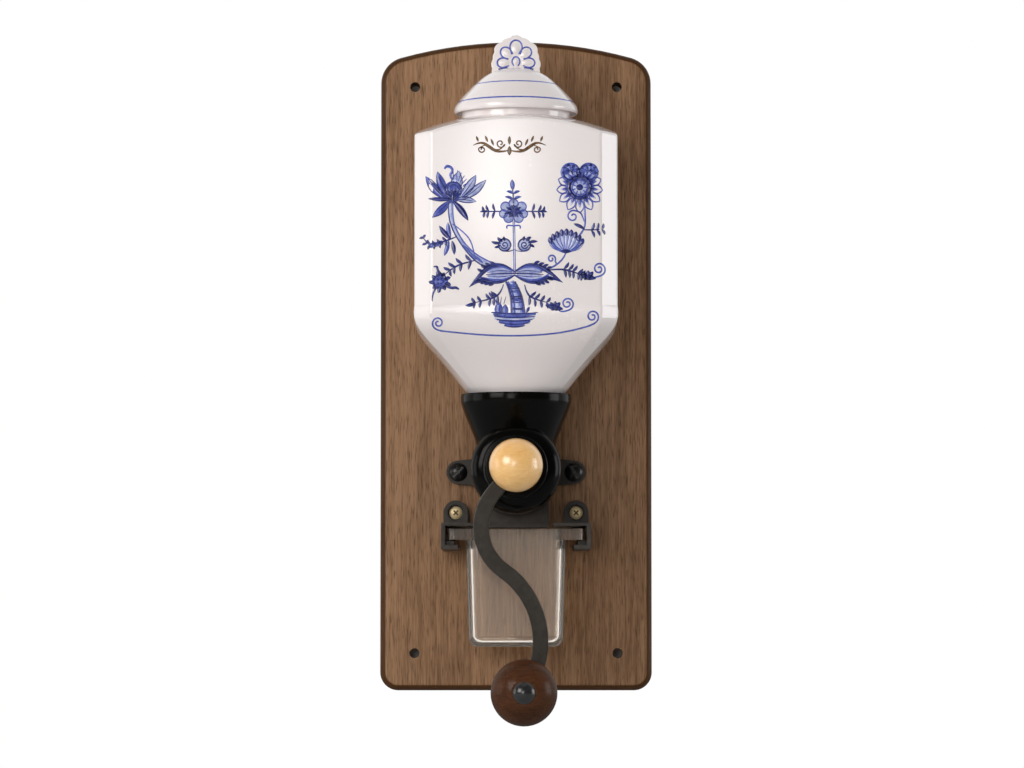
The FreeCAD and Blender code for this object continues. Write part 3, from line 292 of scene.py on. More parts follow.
def wire_wash(graph: NodeGraph, given: bpy.types.NodeOutputs) -> dict[str, object]:
    """Pooled and thinned brush colour under a glaze.

    Args:
        graph: The group's nodes.
        given: The group's inputs.

    Returns:
        What feeds each output of the group.
    """
    fineness = 6.0
    pools = graph.noise(given["Vector"], given["Scale"], 3.0, 0.4)
    hairs = graph.noise(given["Vector"], graph.math("MULTIPLY", given["Scale"], fineness), 2.0)
    tone = graph.span(pools, 0.32, 0.68, 0.0, 0.8)
    tone = graph.math("ADD", tone, graph.span(hairs, 0.3, 0.7, -0.1, 0.25), clamp=True)
    return {"Color": graph.mix(tone, given["Thin"], given["Thick"])}


VECTOR, VALUE, COLOUR = "Vector", "Float", "Color"
PLACED: Sockets = (("Vector", VECTOR), ("Scale", VALUE))
DOSED: Sockets = (*PLACED, ("Amount", VALUE))
MASK: Sockets = (("Mask", VALUE),)
WOOD = Effect(
    "wood_grain",
    (("Vector", VECTOR), ("Across", VALUE), ("Along", VALUE), ("Pores", VALUE), ("Pale", COLOUR),
     ("Deep", COLOUR)),
    (("Color", COLOUR), ("Height", VALUE), ("Pore Mask", VALUE)), wire_wood)
MOTTLE = Effect("surface_mottle", (*DOSED, ("Roughness", VALUE)), (("Shade", VALUE), ("Roughness", VALUE)),
                wire_mottle)
EDGES = Effect("edge_wear", DOSED, MASK, wire_edges)
DUST = Effect("settled_dust", DOSED, MASK, wire_dust)
WASH = Effect("brush_wash", (*PLACED, ("Thin", COLOUR), ("Thick", COLOUR)), (("Color", COLOUR),), wire_wash)


@dataclass(frozen=True)
class Finish:
    """A surface finish, made once as a material."""

    name: str

    def material(self) -> bpy.types.Material:
        """Give the finish's material, and build it the first time.

        Returns:
            The material that every such piece shares.
        """
        known = bpy.data.materials.get(self.name)
        if known:
            return known
        material = bpy.data.materials.new(self.name)
        material.use_nodes = True
        material.node_tree.nodes.clear()
        graph = NodeGraph(material.node_tree)
        graph.add("ShaderNodeOutputMaterial", {"Surface": self.shader(graph)})
        return material

    def shader(self, graph: NodeGraph) -> bpy.types.NodeSocket:
        """Wire the finish's shader and return its output."""
        place = graph.add("ShaderNodeTexCoord").outputs["Object"]
        return graph.add("ShaderNodeBsdfPrincipled", self.sockets(graph, place)).outputs[0]

    def sockets(self, graph: NodeGraph, place: bpy.types.NodeSocket) -> dict[str, object]:
        """Say what feeds the shader.

        Args:
            graph: The material's nodes.
            place: Object coordinates.

        Returns:
            A constant or a socket for each shader input that the finish sets.
        """
        raise NotImplementedError

    def dress(self, piece: bpy.types.Object) -> None:
        """Make this the only material of a piece."""
        piece.data.materials.clear()
        piece.data.materials.append(self.material())


@dataclass(frozen=True)
class WoodFinish(Finish):
    """Stained or varnished wood, with its grain along Z unless it is turned."""

    pale: Colour
    deep: Colour
    # Colour painted as shade where the surface turns from the front to the sides.
    rim: Colour
    across: float
    along: float
    pores: float
    roughness: float
    varnish: float
    turn: Place = (0.0, 0.0, 0.0)
    rim_reach: Point = (2.0, 3.0)
    rim_share: float = 0.9
    varnish_blur: float = 0.1
    gloss: float = 0.5
    pore_blur: float = 0.2
    relief: Point = (0.35, 0.15)
    clouds: Point = (30.0, 0.14)

    def sockets(self, graph: NodeGraph, place: bpy.types.NodeSocket) -> dict[str, object]:
        """Grain, painted shade that darkens the colour where the front rolls over to the sides, and worn
        sheen.

        Args:
            graph: The material's nodes.
            place: Object coordinates.

        Returns:
            What feeds each shader input.
        """
        vector = graph.add("ShaderNodeMapping", {"Vector": place, "Rotation": self.turn}).outputs[0]
        grain = WOOD.place(graph, vector, self.across, self.along, self.pores, self.pale, self.deep)
        mottle = MOTTLE.place(graph, place, *self.clouds, self.roughness)
        # Painted shade: the colour darkens towards the rim colour where the surface turns from the front to
        # the sides.
        forward = graph.part(graph.geometry("Normal"), 1)
        side = graph.math("SUBTRACT", 1.0, graph.math("ABSOLUTE", forward))
        rim_shade = graph.span(side, *self.rim_reach, 0.0, self.rim_share)
        pores = graph.math("MULTIPLY", grain["Pore Mask"], self.pore_blur)
        strength, depth = self.relief
        return {"Base Color": graph.mix(rim_shade, grain["Color"], self.rim),
                "Roughness": graph.math("ADD", mottle["Roughness"], pores, clamp=True),
                "Specular IOR Level": self.gloss, "Coat Weight": self.varnish,
                "Coat Roughness": self.varnish_blur,
                "Normal": graph.bump(grain["Height"], strength, depth * MM)}


GLAZE = {"Coat Weight": 1.0, "Coat Roughness": 0.1}


@dataclass(frozen=True)
class GlazeFinish(Finish):
    """White porcelain under a clear glaze."""

    white: Colour
    shade: Colour
    roughness: float
    clouds: Point = (26.0, 0.12)
    ripple: Point = (0.2, 0.3)
    ripple_scale: float = 38.0

    def sockets(self, graph: NodeGraph, place: bpy.types.NodeSocket) -> dict[str, object]:
        """A faintly clouded body and a glaze that ripples a little.

        Args:
            graph: The material's nodes.
            place: Object coordinates.

        Returns:
            What feeds each shader input.
        """
        mottle = MOTTLE.place(graph, place, *self.clouds, self.roughness)
        strength, depth = self.ripple
        return {"Base Color": graph.mix(mottle["Shade"], self.shade, self.white),
                "Roughness": mottle["Roughness"], **GLAZE,
                "Normal": graph.bump(graph.noise(place, self.ripple_scale, 0.0), strength, depth * MM)}


@dataclass(frozen=True)
class BrushFinish(Finish):
    """Underglaze colour laid on with a brush."""

    thin: Colour
    thick: Colour
    scale: float
    roughness: float = 0.2
    clouds: Point = (60.0, 0.1)

    def sockets(self, graph: NodeGraph, place: bpy.types.NodeSocket) -> dict[str, object]:
        """Pooled and thinned colour under the same glaze as the jar.

        Args:
            graph: The material's nodes.
            place: Object coordinates.

        Returns:
            What feeds each shader input.
        """
        wash = WASH.place(graph, place, self.scale, self.thin, self.thick)
        mottle = MOTTLE.place(graph, place, *self.clouds, self.roughness)
        return {"Base Color": wash["Color"], "Roughness": mottle["Roughness"], **GLAZE}


@dataclass(frozen=True)
class PaintFinish(Finish):
    """Enamelled or moulded dark surface, worn at its edges and dusty on top."""

    colour: Colour
    lighter: Colour
    worn: Colour
    roughness: float
    texture: float
    gloss: float = 0.5
    wear: float = 0.5
    dust: float = 0.15
    cloud: float = 0.12
    dust_colour: Colour = (0.32, 0.28, 0.23)
    dust_blur: float = 0.5
    skin_depth: float = 0.06
    cloud_scale: float = 70.0
    wear_scale: float = 260.0
    dust_scale: float = 90.0
    skin_scale: float = 1500.0

    def sockets(self, graph: NodeGraph, place: bpy.types.NodeSocket) -> dict[str, object]:
        """Clouded colour, edge wear, dust and a fine skin texture.

        Args:
            graph: The material's nodes.
            place: Object coordinates.

        Returns:
            What feeds each shader input.
        """
        mottle = MOTTLE.place(graph, place, self.cloud_scale, self.cloud, self.roughness)
        edges = EDGES.place(graph, place, self.wear_scale, self.wear)
        dust = DUST.place(graph, place, self.dust_scale, self.dust)
        colour = graph.mix(mottle["Shade"], self.colour, self.lighter)
        colour = graph.mix(edges["Mask"], colour, self.worn)
        colour = graph.mix(dust["Mask"], colour, self.dust_colour)
        dull = graph.math("MULTIPLY", dust["Mask"], self.dust_blur)
        skin = graph.noise(place, self.skin_scale, 2.0)
        return {"Base Color": colour, "Specular IOR Level": self.gloss,
                "Roughness": graph.math("ADD", mottle["Roughness"], dull, clamp=True),
                "Normal": graph.bump(skin, self.texture, self.skin_depth * MM)}


@dataclass(frozen=True)
class MetalFinish(Finish):
    """Bare or turned metal with fine drawn scratches."""

    colour: Colour
    tarnish: Colour
    bright: Colour
    roughness: float
    metallic: float = 1.0
    wear: float = 0.6
    wear_scale: float = 300.0
    clouds: Point = (120.0, 0.22)
    drawn: Place = (900.0, 900.0, 60.0)
    scratch: Point = (0.12, 0.03)

    def sockets(self, graph: NodeGraph, place: bpy.types.NodeSocket) -> dict[str, object]:
        """Tarnish in clouds, brighter worn edges and drawn scratches.

        Args:
            graph: The material's nodes.
            place: Object coordinates.

        Returns:
            What feeds each shader input.
        """
        mottle = MOTTLE.place(graph, place, *self.clouds, self.roughness)
        edges = EDGES.place(graph, place, self.wear_scale, self.wear)
        colour = graph.mix(mottle["Shade"], self.tarnish, self.colour)
        scratches = graph.noise(graph.stretch(place, self.drawn), 1.0, 3.0)
        strength, depth = self.scratch
        return {"Base Color": graph.mix(edges["Mask"], colour, self.bright), "Metallic": self.metallic,
                "Roughness": mottle["Roughness"], "Normal": graph.bump(scratches, strength, depth * MM)}


@dataclass(frozen=True)
class ClearFinish(Finish):
    """Clear moulded plastic."""

    tint: Colour
    haze: Colour
    roughness: float
    index: float
    clearness: float
    clouds: Point = (80.0, 0.012)
    flow: Point = (0.04, 0.1)
    flow_scale: float = 40.0

    def sockets(self, graph: NodeGraph, place: bpy.types.NodeSocket) -> dict[str, object]:
        """Tinted clear plastic with faint handling marks.

        Args:
            graph: The material's nodes.
            place: Object coordinates.

        Returns:
            What feeds each shader input.
        """
        mottle = MOTTLE.place(graph, place, *self.clouds, self.roughness)
        strength, depth = self.flow
        return {"Base Color": graph.mix(mottle["Shade"], self.haze, self.tint),
                "Roughness": mottle["Roughness"], "IOR": self.index, "Transmission Weight": self.clearness,
                "Normal": graph.bump(graph.noise(place, self.flow_scale, 1.0), strength, depth * MM)}


WHITE: Colour = (1.0, 1.0, 1.0)


def seen_or_through(graph: NodeGraph) -> tuple[bpy.types.NodeSocket, bpy.types.NodeSocket]:
    """Tell which rays show the white background.

    Args:
        graph: The nodes of a stage material or of the world.

    Returns:
        1 for a ray from the camera or through glass, and 1 for a mirrored ray.
    """
    path = graph.add("ShaderNodeLightPath").outputs
    return graph.math("MAXIMUM", path["Is Camera Ray"], path["Is Transmission Ray"]), path["Is Glossy Ray"]


@dataclass(frozen=True)
class StageFinish(Finish):
    """Pale paint of the surroundings, part of it white to the eye, and see-through from behind if asked."""

    paint: Colour
    glow: float
    open_behind: bool = False

    def shader(self, graph: NodeGraph) -> bpy.types.NodeSocket:
        """Mix paint that takes the shadow with white that only the eye and glass see.

        Args:
            graph: The material's nodes.

        Returns:
            The shader's output.
        """
        seen = graph.math("MULTIPLY", seen_or_through(graph)[0], self.glow)
        diffuse = graph.add("ShaderNodeBsdfDiffuse", {"Color": self.paint}).outputs[0]
        white = graph.add("ShaderNodeEmission", {"Color": WHITE, "Strength": 1.0}).outputs[0]
        mixed = graph.add("ShaderNodeMixShader", {0: seen, 1: diffuse, 2: white}).outputs[0]
        if self.open_behind:
            clear = graph.add("ShaderNodeBsdfTransparent").outputs[0]
            inputs = {0: graph.geometry("Backfacing"), 1: mixed, 2: clear}
            mixed = graph.add("ShaderNodeMixShader", inputs).outputs[0]
        return mixed


TURNED: Place = (0.0, QUARTER, 0.0)
# The board's near-black rim colour is painted shade along its rolled edges.
BOARD_WOOD = WoodFinish(
    "stained_board_wood", pale=(0.345, 0.195, 0.104), deep=(0.154, 0.076, 0.0335), rim=(0.05, 0.0165, 0.0015),
    across=95.0, along=7.0, pores=0.75, roughness=0.42, varnish=0.0, rim_reach=(0.002, 0.07), gloss=0.15)
BALL_WOOD = WoodFinish(
    "ball_varnished_wood", pale=(0.98, 0.6, 0.215), deep=(0.88, 0.46, 0.125), rim=(0.6, 0.3, 0.1),
    across=120.0, along=18.0, pores=0.08, roughness=0.32, varnish=1.0, turn=TURNED, varnish_blur=0.25,
    gloss=1.0)
KNOB_WOOD = WoodFinish(
    "knob_dark_wood", pale=(0.088, 0.0315, 0.0115), deep=(0.036, 0.013, 0.005), rim=(0.04, 0.015, 0.008),
    across=150.0, along=14.0, pores=0.5, roughness=0.5, varnish=0.22, turn=TURNED, varnish_blur=0.22,
    gloss=0.05)
PORCELAIN = GlazeFinish(
    "white_porcelain", white=(0.875, 0.815, 0.805), shade=(0.83, 0.77, 0.76), roughness=0.24)
BLACK_GLOSS = PaintFinish(
    "black_enamel", colour=(0.0016, 0.0015, 0.0013), lighter=(0.0034, 0.0031, 0.0028),
    worn=(0.04, 0.037, 0.033), roughness=0.17, texture=0.02, gloss=0.11, wear=0.02, dust=0.01, cloud=0.04)
GREY_MATTE = PaintFinish(
    "grey_moulding", colour=(0.0265, 0.0222, 0.018), lighter=(0.0415, 0.0355, 0.029),
    worn=(0.08, 0.072, 0.064), roughness=0.46, texture=0.3, gloss=0.28, wear=0.4, dust=0.05)
BLACK_SCREW = PaintFinish(
    "blackened_screw", colour=(0.005, 0.0047, 0.0044), lighter=(0.01, 0.0095, 0.009),
    worn=(0.1, 0.092, 0.084), roughness=0.3, texture=0.1, gloss=0.4, wear=0.4, dust=0.02)
RUBBER = PaintFinish(
    "soft_rubber", colour=(0.02, 0.02, 0.02), lighter=(0.03, 0.03, 0.03), worn=(0.06, 0.06, 0.06),
    roughness=0.7, texture=0.4)
DARK_STEEL = PaintFinish(
    "blackened_steel", colour=(0.0215, 0.0168, 0.0125), lighter=(0.026, 0.0208, 0.0155),
    worn=(0.15, 0.13, 0.11), roughness=0.4, texture=0.14, gloss=0.22, wear=0.7, dust=0.05, cloud=0.05)
BARE_STEEL = MetalFinish(
    "ground_steel", colour=(0.55, 0.54, 0.52), tarnish=(0.42, 0.4, 0.38), bright=(0.7, 0.68, 0.65),
    roughness=0.3)
BRONZE = MetalFinish(
    "bearing_bronze", colour=(0.5, 0.31, 0.15), tarnish=(0.36, 0.21, 0.1), bright=(0.68, 0.46, 0.24),
    roughness=0.34)
BRASS = MetalFinish(
    "turned_brass", colour=(1.0, 0.8, 0.46), tarnish=(0.95, 0.73, 0.39), bright=(1.0, 0.88, 0.6),
    roughness=0.38, metallic=0.3)
# Painted shade: a dark brown that stands for the shade deep in the rail screws' cross recesses.
PAINTED_RECESS_SHADE = PaintFinish(
    "painted_recess_shade", colour=(0.1, 0.06, 0.022), lighter=(0.14, 0.086, 0.034), worn=(0.17, 0.11, 0.045),
    roughness=0.6, texture=0.1, gloss=0.2, wear=0.0, dust=0.0)
DARK_CHROME = PaintFinish(
    "black_chrome", colour=(0.014, 0.0135, 0.014), lighter=(0.02, 0.0195, 0.02), worn=(0.05, 0.049, 0.05),
    roughness=0.24, texture=0.0, gloss=0.7, wear=0.1, dust=0.0, cloud=0.03)
CLEAR_PLASTIC = ClearFinish(
    "cup_clear_plastic", tint=(0.985, 0.93, 0.86), haze=(0.97, 0.9, 0.81), roughness=0.01, index=1.36,
    clearness=0.95)
COBALT_WASH = BrushFinish("cobalt_wash", thin=(0.56, 0.6, 0.82), thick=(0.25, 0.31, 0.66), scale=260.0)
COBALT_MID = BrushFinish("cobalt_mid", thin=(0.105, 0.15, 0.58), thick=(0.04, 0.062, 0.38), scale=320.0)
COBALT_DARK = BrushFinish(
    "cobalt_dark", thin=(0.024, 0.038, 0.27), thick=(0.008, 0.0135, 0.125), scale=320.0)
SEPIA_GOLD = BrushFinish("sepia_gold", thin=(0.22, 0.105, 0.03), thick=(0.07, 0.03, 0.008), scale=300.0)
FLOOR_WHITE = StageFinish("studio_floor_white", paint=(0.5, 0.5, 0.5), glow=0.85)
WALL_PAINT = StageFinish("wall_paint", paint=(0.7, 0.68, 0.65), glow=0.0, open_behind=True)

SLOT_FINISHES: dict[str, Finish] = {
    "board_wood": BOARD_WOOD, "porcelain": PORCELAIN, "black_gloss": BLACK_GLOSS, "grey_matte": GREY_MATTE,
    "dark_steel": DARK_STEEL, "black_screw": BLACK_SCREW, "bare_steel": BARE_STEEL, "bronze": BRONZE,
    "brass": BRASS, "ball_wood": BALL_WOOD, "knob_wood": KNOB_WOOD, "dark_chrome": DARK_CHROME,
    "clear_plastic": CLEAR_PLASTIC, "rubber": RUBBER,
}


@dataclass
class Piece:
    """How a new piece is named, carried and finished."""

    name: str
    body: Body
    slot: str
    finish: Finish
    stands_for: tuple[str, ...] = ()
    sharp: float = math.radians(38.0)

    def make(self, bm: bmesh.types.BMesh) -> bpy.types.Object:
        """Turn a bmesh into the finished piece.

        Args:
            bm: The closed shape, in its place. It is freed.

        Returns:
            The new object.
        """
        bmesh.ops.remove_doubles(bm, verts=bm.verts, dist=MERGE)
        bmesh.ops.recalc_face_normals(bm, faces=bm.faces)
        return self.adopt(to_mesh(self.name, bm))

    def adopt(self, mesh: bpy.types.Mesh) -> bpy.types.Object:
        """Make a piece of a mesh that is already in its place.

        Args:
            mesh: The mesh, which gets smooth shading with sharp edges.

        Returns:
            The new object.
        """
        mesh.shade_smooth()
        mesh.set_sharp_from_angle(angle=self.sharp)
        piece = show(self.name, mesh)
        self.finish.dress(piece)
        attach(piece, self.body.value)
        if self.stands_for:
            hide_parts(*self.stands_for)
        LOG.info("made %s: %d faces on %s", self.name, len(mesh.polygons), self.body.value)
        return piece


def to_mesh(name: str, bm: bmesh.types.BMesh) -> bpy.types.Mesh:
    """Turn a bmesh into a mesh, and free it.

    Args:
        name: The mesh's name.
        bm: The shape.

    Returns:
        The new mesh.
    """
    mesh = bpy.data.meshes.new(name)
    bm.to_mesh(mesh)
    bm.free()
    return mesh


def show(name: str, data: bpy.types.ID) -> bpy.types.Object:
    """Put a mesh, a curve, a lamp or a camera into the scene as an object.

    Args:
        name: The object's name.
        data: What it shows.

    Returns:
        The new object.
    """
    holder = bpy.data.objects.new(name, data)
    bpy.context.scene.collection.objects.link(holder)
    return holder


def applied(piece: bpy.types.Object) -> bpy.types.Mesh:
    """Apply an object's modifiers, and remove the object.

    Args:
        piece: The object.

    Returns:
        The mesh.
    """
    mesh = bpy.data.meshes.new_from_object(piece.evaluated_get(bpy.context.evaluated_depsgraph_get()))
    bpy.data.objects.remove(piece)
    return mesh


def smooth_line(points: Sequence[Point], steps: int) -> list[Point]:
    """Draw a smooth line through points.

    Args:
        points: The points to pass through.
        steps: How many spans replace each gap between two points.

    Returns:
        The finer line, from the first point to the last.
    """
    def blend(a: float, b: float, c: float, d: float, t: float) -> float:
        """Give the value a share t of the way from b to c, with a before them and d after."""
        square, cube = 2 * a - 5 * b + 4 * c - d, 3 * b - a - 3 * c + d
        return 0.5 * (2 * b + (c - a) * t + square * t ** 2 + cube * t ** 3)

    padded = [points[0], *points, points[-1]]
    line: list[Point] = []
    for corners in zip(padded, padded[1:], padded[2:], padded[3:]):
        for step in range(steps):
            line.append(tuple(blend(*values, step / steps) for values in zip(*corners)))
    return [*line, tuple(points[-1])]


def lathe(profile: Iterable[Point], out: float, steps: int = 128, closed: bool = False) -> bmesh.types.BMesh:
    """Turn a profile round an upright axis.

    Args:
        profile: Points of (radius, height).
        out: How far the axis is from the wall.
        steps: How many spans go round.
        closed: Whether the profile's last point joins its first.

    Returns:
        The turned shape, in its place.
    """
    bm = bmesh.new()
    verts = [bm.verts.new((radius * MM, 0.0, height * MM)) for radius, height in profile]
    edges = [bm.edges.new(pair) for pair in zip(verts, verts[1:])]
    if closed:
        edges.append(bm.edges.new((verts[-1], verts[0])))
    bmesh.ops.spin(bm, geom=verts + edges, cent=(0, 0, 0), axis=(0, 0, 1), angle=math.tau, steps=steps,
                   use_merge=True)
    bmesh.ops.remove_doubles(bm, verts=bm.verts, dist=MERGE)
    bmesh.ops.translate(bm, verts=bm.verts, vec=(0.0, -out * MM, 0.0))
    return bm


@dataclass(frozen=True)
class SoftEdges:
    """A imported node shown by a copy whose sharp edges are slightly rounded."""

    node: str
    body: Body
    width: float
    flat: float = math.radians(0.6)
    sharp: float = math.radians(35.0)
    crease: float = math.radians(15.0)

    def make(self) -> None:
        """Merge the copy, round its sharp edges and let it stand for the node."""
        slot = next(row["material_slot"] for row in frame["record"]["subparts"] if row["node"] == self.node)
        bm = bmesh.new()
        bm.from_mesh(frame["nodes"][self.node].data)
        bmesh.ops.remove_doubles(bm, verts=bm.verts, dist=WELD)
        bmesh.ops.dissolve_limit(bm, angle_limit=self.flat, verts=bm.verts, edges=bm.edges)
        edges = [edge for edge in bm.edges if edge.is_manifold and edge.calc_face_angle() > self.sharp]
        bmesh.ops.bevel(bm, geom=edges, offset=self.width * MM, offset_type="OFFSET", segments=2, profile=0.5,
                        affect="EDGES", material=-1, clamp_overlap=True)
        Piece(f"{self.node}_soft", self.body, slot, SLOT_FINISHES[slot], (self.node,), self.crease).make(bm)


SOFT_EDGES = (
    SoftEdges("crank_arm", Body.CRANK, 0.6), SoftEdges("left_rail", Body.BASE, 0.5),
    SoftEdges("right_rail", Body.BASE, 0.5), SoftEdges("mill_base", Body.BASE, 0.5),
)


@dataclass
class MillTrim:
    """The fair outside of the funnel, and painted shade on the floor of the rail screws' cross recesses."""

    out: float = 62.0
    funnel: tuple[Point, ...] = (
        (29.5, -16.75), (29.95, -17.2), (30.05, -19.0), (29.95, -20.8), (29.4, -23.0), (28.3, -26.2),
        (27.1, -29.4), (24.8, -34.8), (22.5, -40.6), (21.7, -43.0))
    funnel_steps: int = 5
    depth: float = 2.4
    screws: tuple[Point, ...] = ((-33.2, -79.7), (33.2, -79.7))
    recess_out: float = 21.68
    recess: Point = (3.5, 0.84)
    bars: tuple[Point, ...] = ((45.0, 0.05), (135.0, 0.045))

    def make(self) -> None:
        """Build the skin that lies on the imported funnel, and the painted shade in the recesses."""
        skin = smooth_line(self.funnel, self.funnel_steps)
        inside = [(radius - self.depth, height) for radius, height in reversed(skin)]
        Piece("funnel_skin", Body.BASE, "black_gloss", BLACK_GLOSS).make(
            lathe([*skin, *inside], self.out, closed=True))
        self.make_recess_shade()

    def make_recess_shade(self) -> None:
        """Lay a thin dark cross of two bars, each with its turn and thickness, on each recess's floor as
        painted shade.
        """
        bm = bmesh.new()
        length, width = self.recess
        for across, rise in self.screws:
            for turn, film in self.bars:
                place = Matrix.Translation((across * MM, -self.recess_out * MM, rise * MM))
                place @= Matrix.Rotation(math.radians(turn), 4, "Y")
                place @= Matrix.Diagonal((length * MM, film * MM, width * MM, 1.0))
                bmesh.ops.create_cube(bm, size=1.0, matrix=place)
        Piece("rail_screw_painted_shade", Body.BASE, "brass", PAINTED_RECESS_SHADE).make(bm)


class Tone(Enum):
    """The colours on the brush, from pale to dark, and the gold."""

    WASH = "wash"
    MID = "mid"
    DARK = "dark"
    GOLD = "gold"


TONE_FINISHES = {Tone.WASH: COBALT_WASH, Tone.MID: COBALT_MID, Tone.DARK: COBALT_DARK, Tone.GOLD: SEPIA_GOLD}
TONE_LIFTS = {Tone.WASH: 0.02, Tone.MID: 0.05, Tone.DARK: 0.08, Tone.GOLD: 0.05}
PETAL_SHAPE = ((0.0, 0.2), (0.2, 0.75), (0.45, 1.0), (0.7, 0.85), (0.88, 0.5), (1.0, 0.08))
OUTLINE_SHAPE = ((0.0, 0.08), (0.2, 0.36), (0.5, 0.5), (0.78, 0.36), (1.0, 0.0))
DISC_SHAPE = ((-1.0, 0.15), (-0.8, 0.78), (0.0, 1.12), (0.8, 0.78), (1.0, 0.15))
SIDES = (-1.0, 1.0)


def polar(centre: Point, angle: float, reach: float) -> Point:
    """Give the point at an angle, in degrees from the right, and a distance from a centre."""
    turn = math.radians(angle)
    return (centre[0] + math.cos(turn) * reach, centre[1] + math.sin(turn) * reach)


def between(start: Point, end: Point, share: float, aside: float = 0.0) -> Point:
    """Find a point along or beside the way from start to end.

    Args:
        start: Where the way starts.
        end: Where it ends.
        share: How much of it is gone.
        aside: How far to the left of it the point lies.

    Returns:
        The point.
    """
    across, up = end[0] - start[0], end[1] - start[1]
    length = math.hypot(across, up) or 1.0
    return (start[0] + across * share - up / length * aside, start[1] + up * share + across / length * aside)


def about(centre: Point, points: Iterable[Point], way: float = 1.0) -> list[Point]:
    """Place points that are given from a centre, and mirror them across it where way is -1."""
    return [(centre[0] + across * way, centre[1] + up) for across, up in points]


@dataclass
class Brushwork:
    """Brush strokes in millimetres across and up, gathered by tone, and laid on a surface."""

    name: str
    body: Body
    film: float = 0.03
    squash: float = 0.2
    outline: float = 0.6
    overlap: float = 1.12
    twig: float = 1.2
    strokes: dict[Tone, list[tuple[list[Point], list[float]]]] = field(
        default_factory=lambda: {tone: [] for tone in Tone})

    def stroke(self, tone: Tone, path: Iterable[Point], widths: Iterable[float]) -> None:
        """Add one stroke with a half width at each point."""
        self.strokes[tone].append((list(path), list(widths)))

    def line(self, tone: Tone, path: Sequence[Point], width: float, start: float = 0.5,
             end: float = 0.3) -> None:
        """Add a line.

        Args:
            tone: The colour.
            path: Points that the line follows.
            width: The full width.
            start: The first point's share of the width.
            end: The last point's share of the width.
        """
        half = width / 2
        self.stroke(tone, path, [half * start] + [half] * (len(path) - 2) + [half * end])

    def bow(self, tone: Tone, start: Point, end: Point, aside: float, *widths: float) -> None:
        """Add a line that bows aside to the left in its middle, with the widths that line takes."""
        self.line(tone, [start, between(start, end, 0.5, aside), end], *widths)

    def petal(self, tone: Tone, base: Point, tip: Point, width: float, bend: float = 0.0) -> None:
        """Add a full stroke that swells in the middle.

        Args:
            tone: The colour.
            base: Where the stroke starts.
            tip: Where it ends.
            width: Its greatest width.
            bend: How far it bends to the left, as a share of its width.
        """
        path = [between(base, tip, share, bend * width * math.sin(math.pi * share))
                for share, _ in PETAL_SHAPE]
        self.stroke(tone, path, [width / 2 * swell for _, swell in PETAL_SHAPE])

    def ray(self, tone: Tone, centre: Point, angle: float, reach: Point, width: float,
            bend: float = 0.0) -> None:
        """Add a petal that points away from a centre, from the first reach to the second."""
        self.petal(tone, polar(centre, angle, reach[0]), polar(centre, angle, reach[1]), width, bend)

    def outlined(self, inside: Tone, base: Point, tip: Point, width: float, bend: float = 0.0) -> None:
        """Add a petal with a dark line along each side.

        Args:
            inside: The petal's colour.
            base: Where it starts.
            tip: Where it ends.
            width: The distance between the lines.
            bend: How far it bends to the left, as a share of its width.
        """
        self.petal(inside, base, tip, width * self.overlap, bend)
        for side in SIDES:
            path = [between(base, tip, share, width * (bend * math.sin(math.pi * share) + side * reach))
                    for share, reach in OUTLINE_SHAPE]
            self.line(Tone.DARK, path, self.outline)

    def disc(self, tone: Tone, centre: Point, radius: float) -> None:
        """Add a round dab."""
        path = about(centre, ((radius * share, 0.0) for share, _ in DISC_SHAPE))
        self.stroke(tone, path, [radius * swell for _, swell in DISC_SHAPE])

    def ring(self, tone: Tone, centre: Point, radius: float, width: float) -> None:
        """Add a line round a centre."""
        self.line(tone, [polar(centre, step * 30.0, radius) for step in range(13)], width, 1.0, 1.0)

    def spiral(self, tone: Tone, centre: Point, radius: float, turns: float, start: float, way: int,
               width: float, lead: Sequence[Point] = ()) -> None:
        """Add a curl that winds in.

        Args:
            tone: The colour.
            centre: The middle of the curl.
            radius: Its outer radius.
            turns: How many times it winds.
            start: Where it starts, in degrees from the right.
            way: 1 to wind anticlockwise, -1 clockwise.
            width: The line's full width.
            lead: Points of the stem that runs into the curl.
        """
        count = max(int(turns * 10), 5)
        curl = [polar(centre, start + way * 360.0 * turns * step / count, radius * (1.0 - 0.8 * step / count))
                for step in range(count + 1)]
        self.line(tone, [*lead, *curl], width, 0.5, 0.9)

    def sprig(self, path: Sequence[Point], pairs: int, leaf: Point, spread: float, begin: float) -> None:
        """Add a thin stem with pairs of leaflets.

        Args:
            path: The stem from its root to its tip.
            pairs: How many pairs of leaflets it has.
            leaf: The length and width of the first leaflets; later ones are shorter.
            spread: The angle between a leaflet and the stem, in degrees.
            begin: The share of the stem before the first pair.
        """
        length, width = leaf
        self.line(Tone.DARK, path, self.twig)
        fine = smooth_line(path, 6)
        for pair in range(pairs):
            spot = begin + (0.96 - begin) * pair / max(pairs - 1, 1)
            index = min(int(spot * (len(fine) - 1)), len(fine) - 2)
            here, ahead = fine[index], fine[index + 1]
            heading = math.degrees(math.atan2(ahead[1] - here[1], ahead[0] - here[0]))
            size = length * (1.0 - 0.35 * pair / max(pairs, 1))
            for side in SIDES:
                self.petal(Tone.DARK, here, polar(here, heading + side * spread, size), width, -0.25 * side)

    def tubes(self, tone: Tone) -> bpy.types.Mesh:
        """Make a mesh of one tone's strokes, round and upright in the plane Y = 0.

        Args:
            tone: The colour.

        Returns:
            The mesh, named for the piece.
        """
        curve = bpy.data.curves.new(f"{self.name}_{tone.value}_path", "CURVE")
        curve.dimensions = "3D"
        curve.bevel_depth = MM
        curve.bevel_resolution = 1
        curve.use_fill_caps = True
        curve.resolution_u = 3
        for path, widths in self.strokes[tone]:
            spline = curve.splines.new("NURBS")
            spline.points.add(len(path) - 1)
            for point, (across, up), width in zip(spline.points, path, widths):
                point.co = (across * MM, 0.0, up * MM, 1.0)
                point.radius = width
            spline.order_u = 3
            spline.use_endpoint_u = True
        mesh = applied(show(curve.name, curve))
        bpy.data.curves.remove(curve)
        mesh.name = f"{self.name}_{tone.value}"
        return mesh

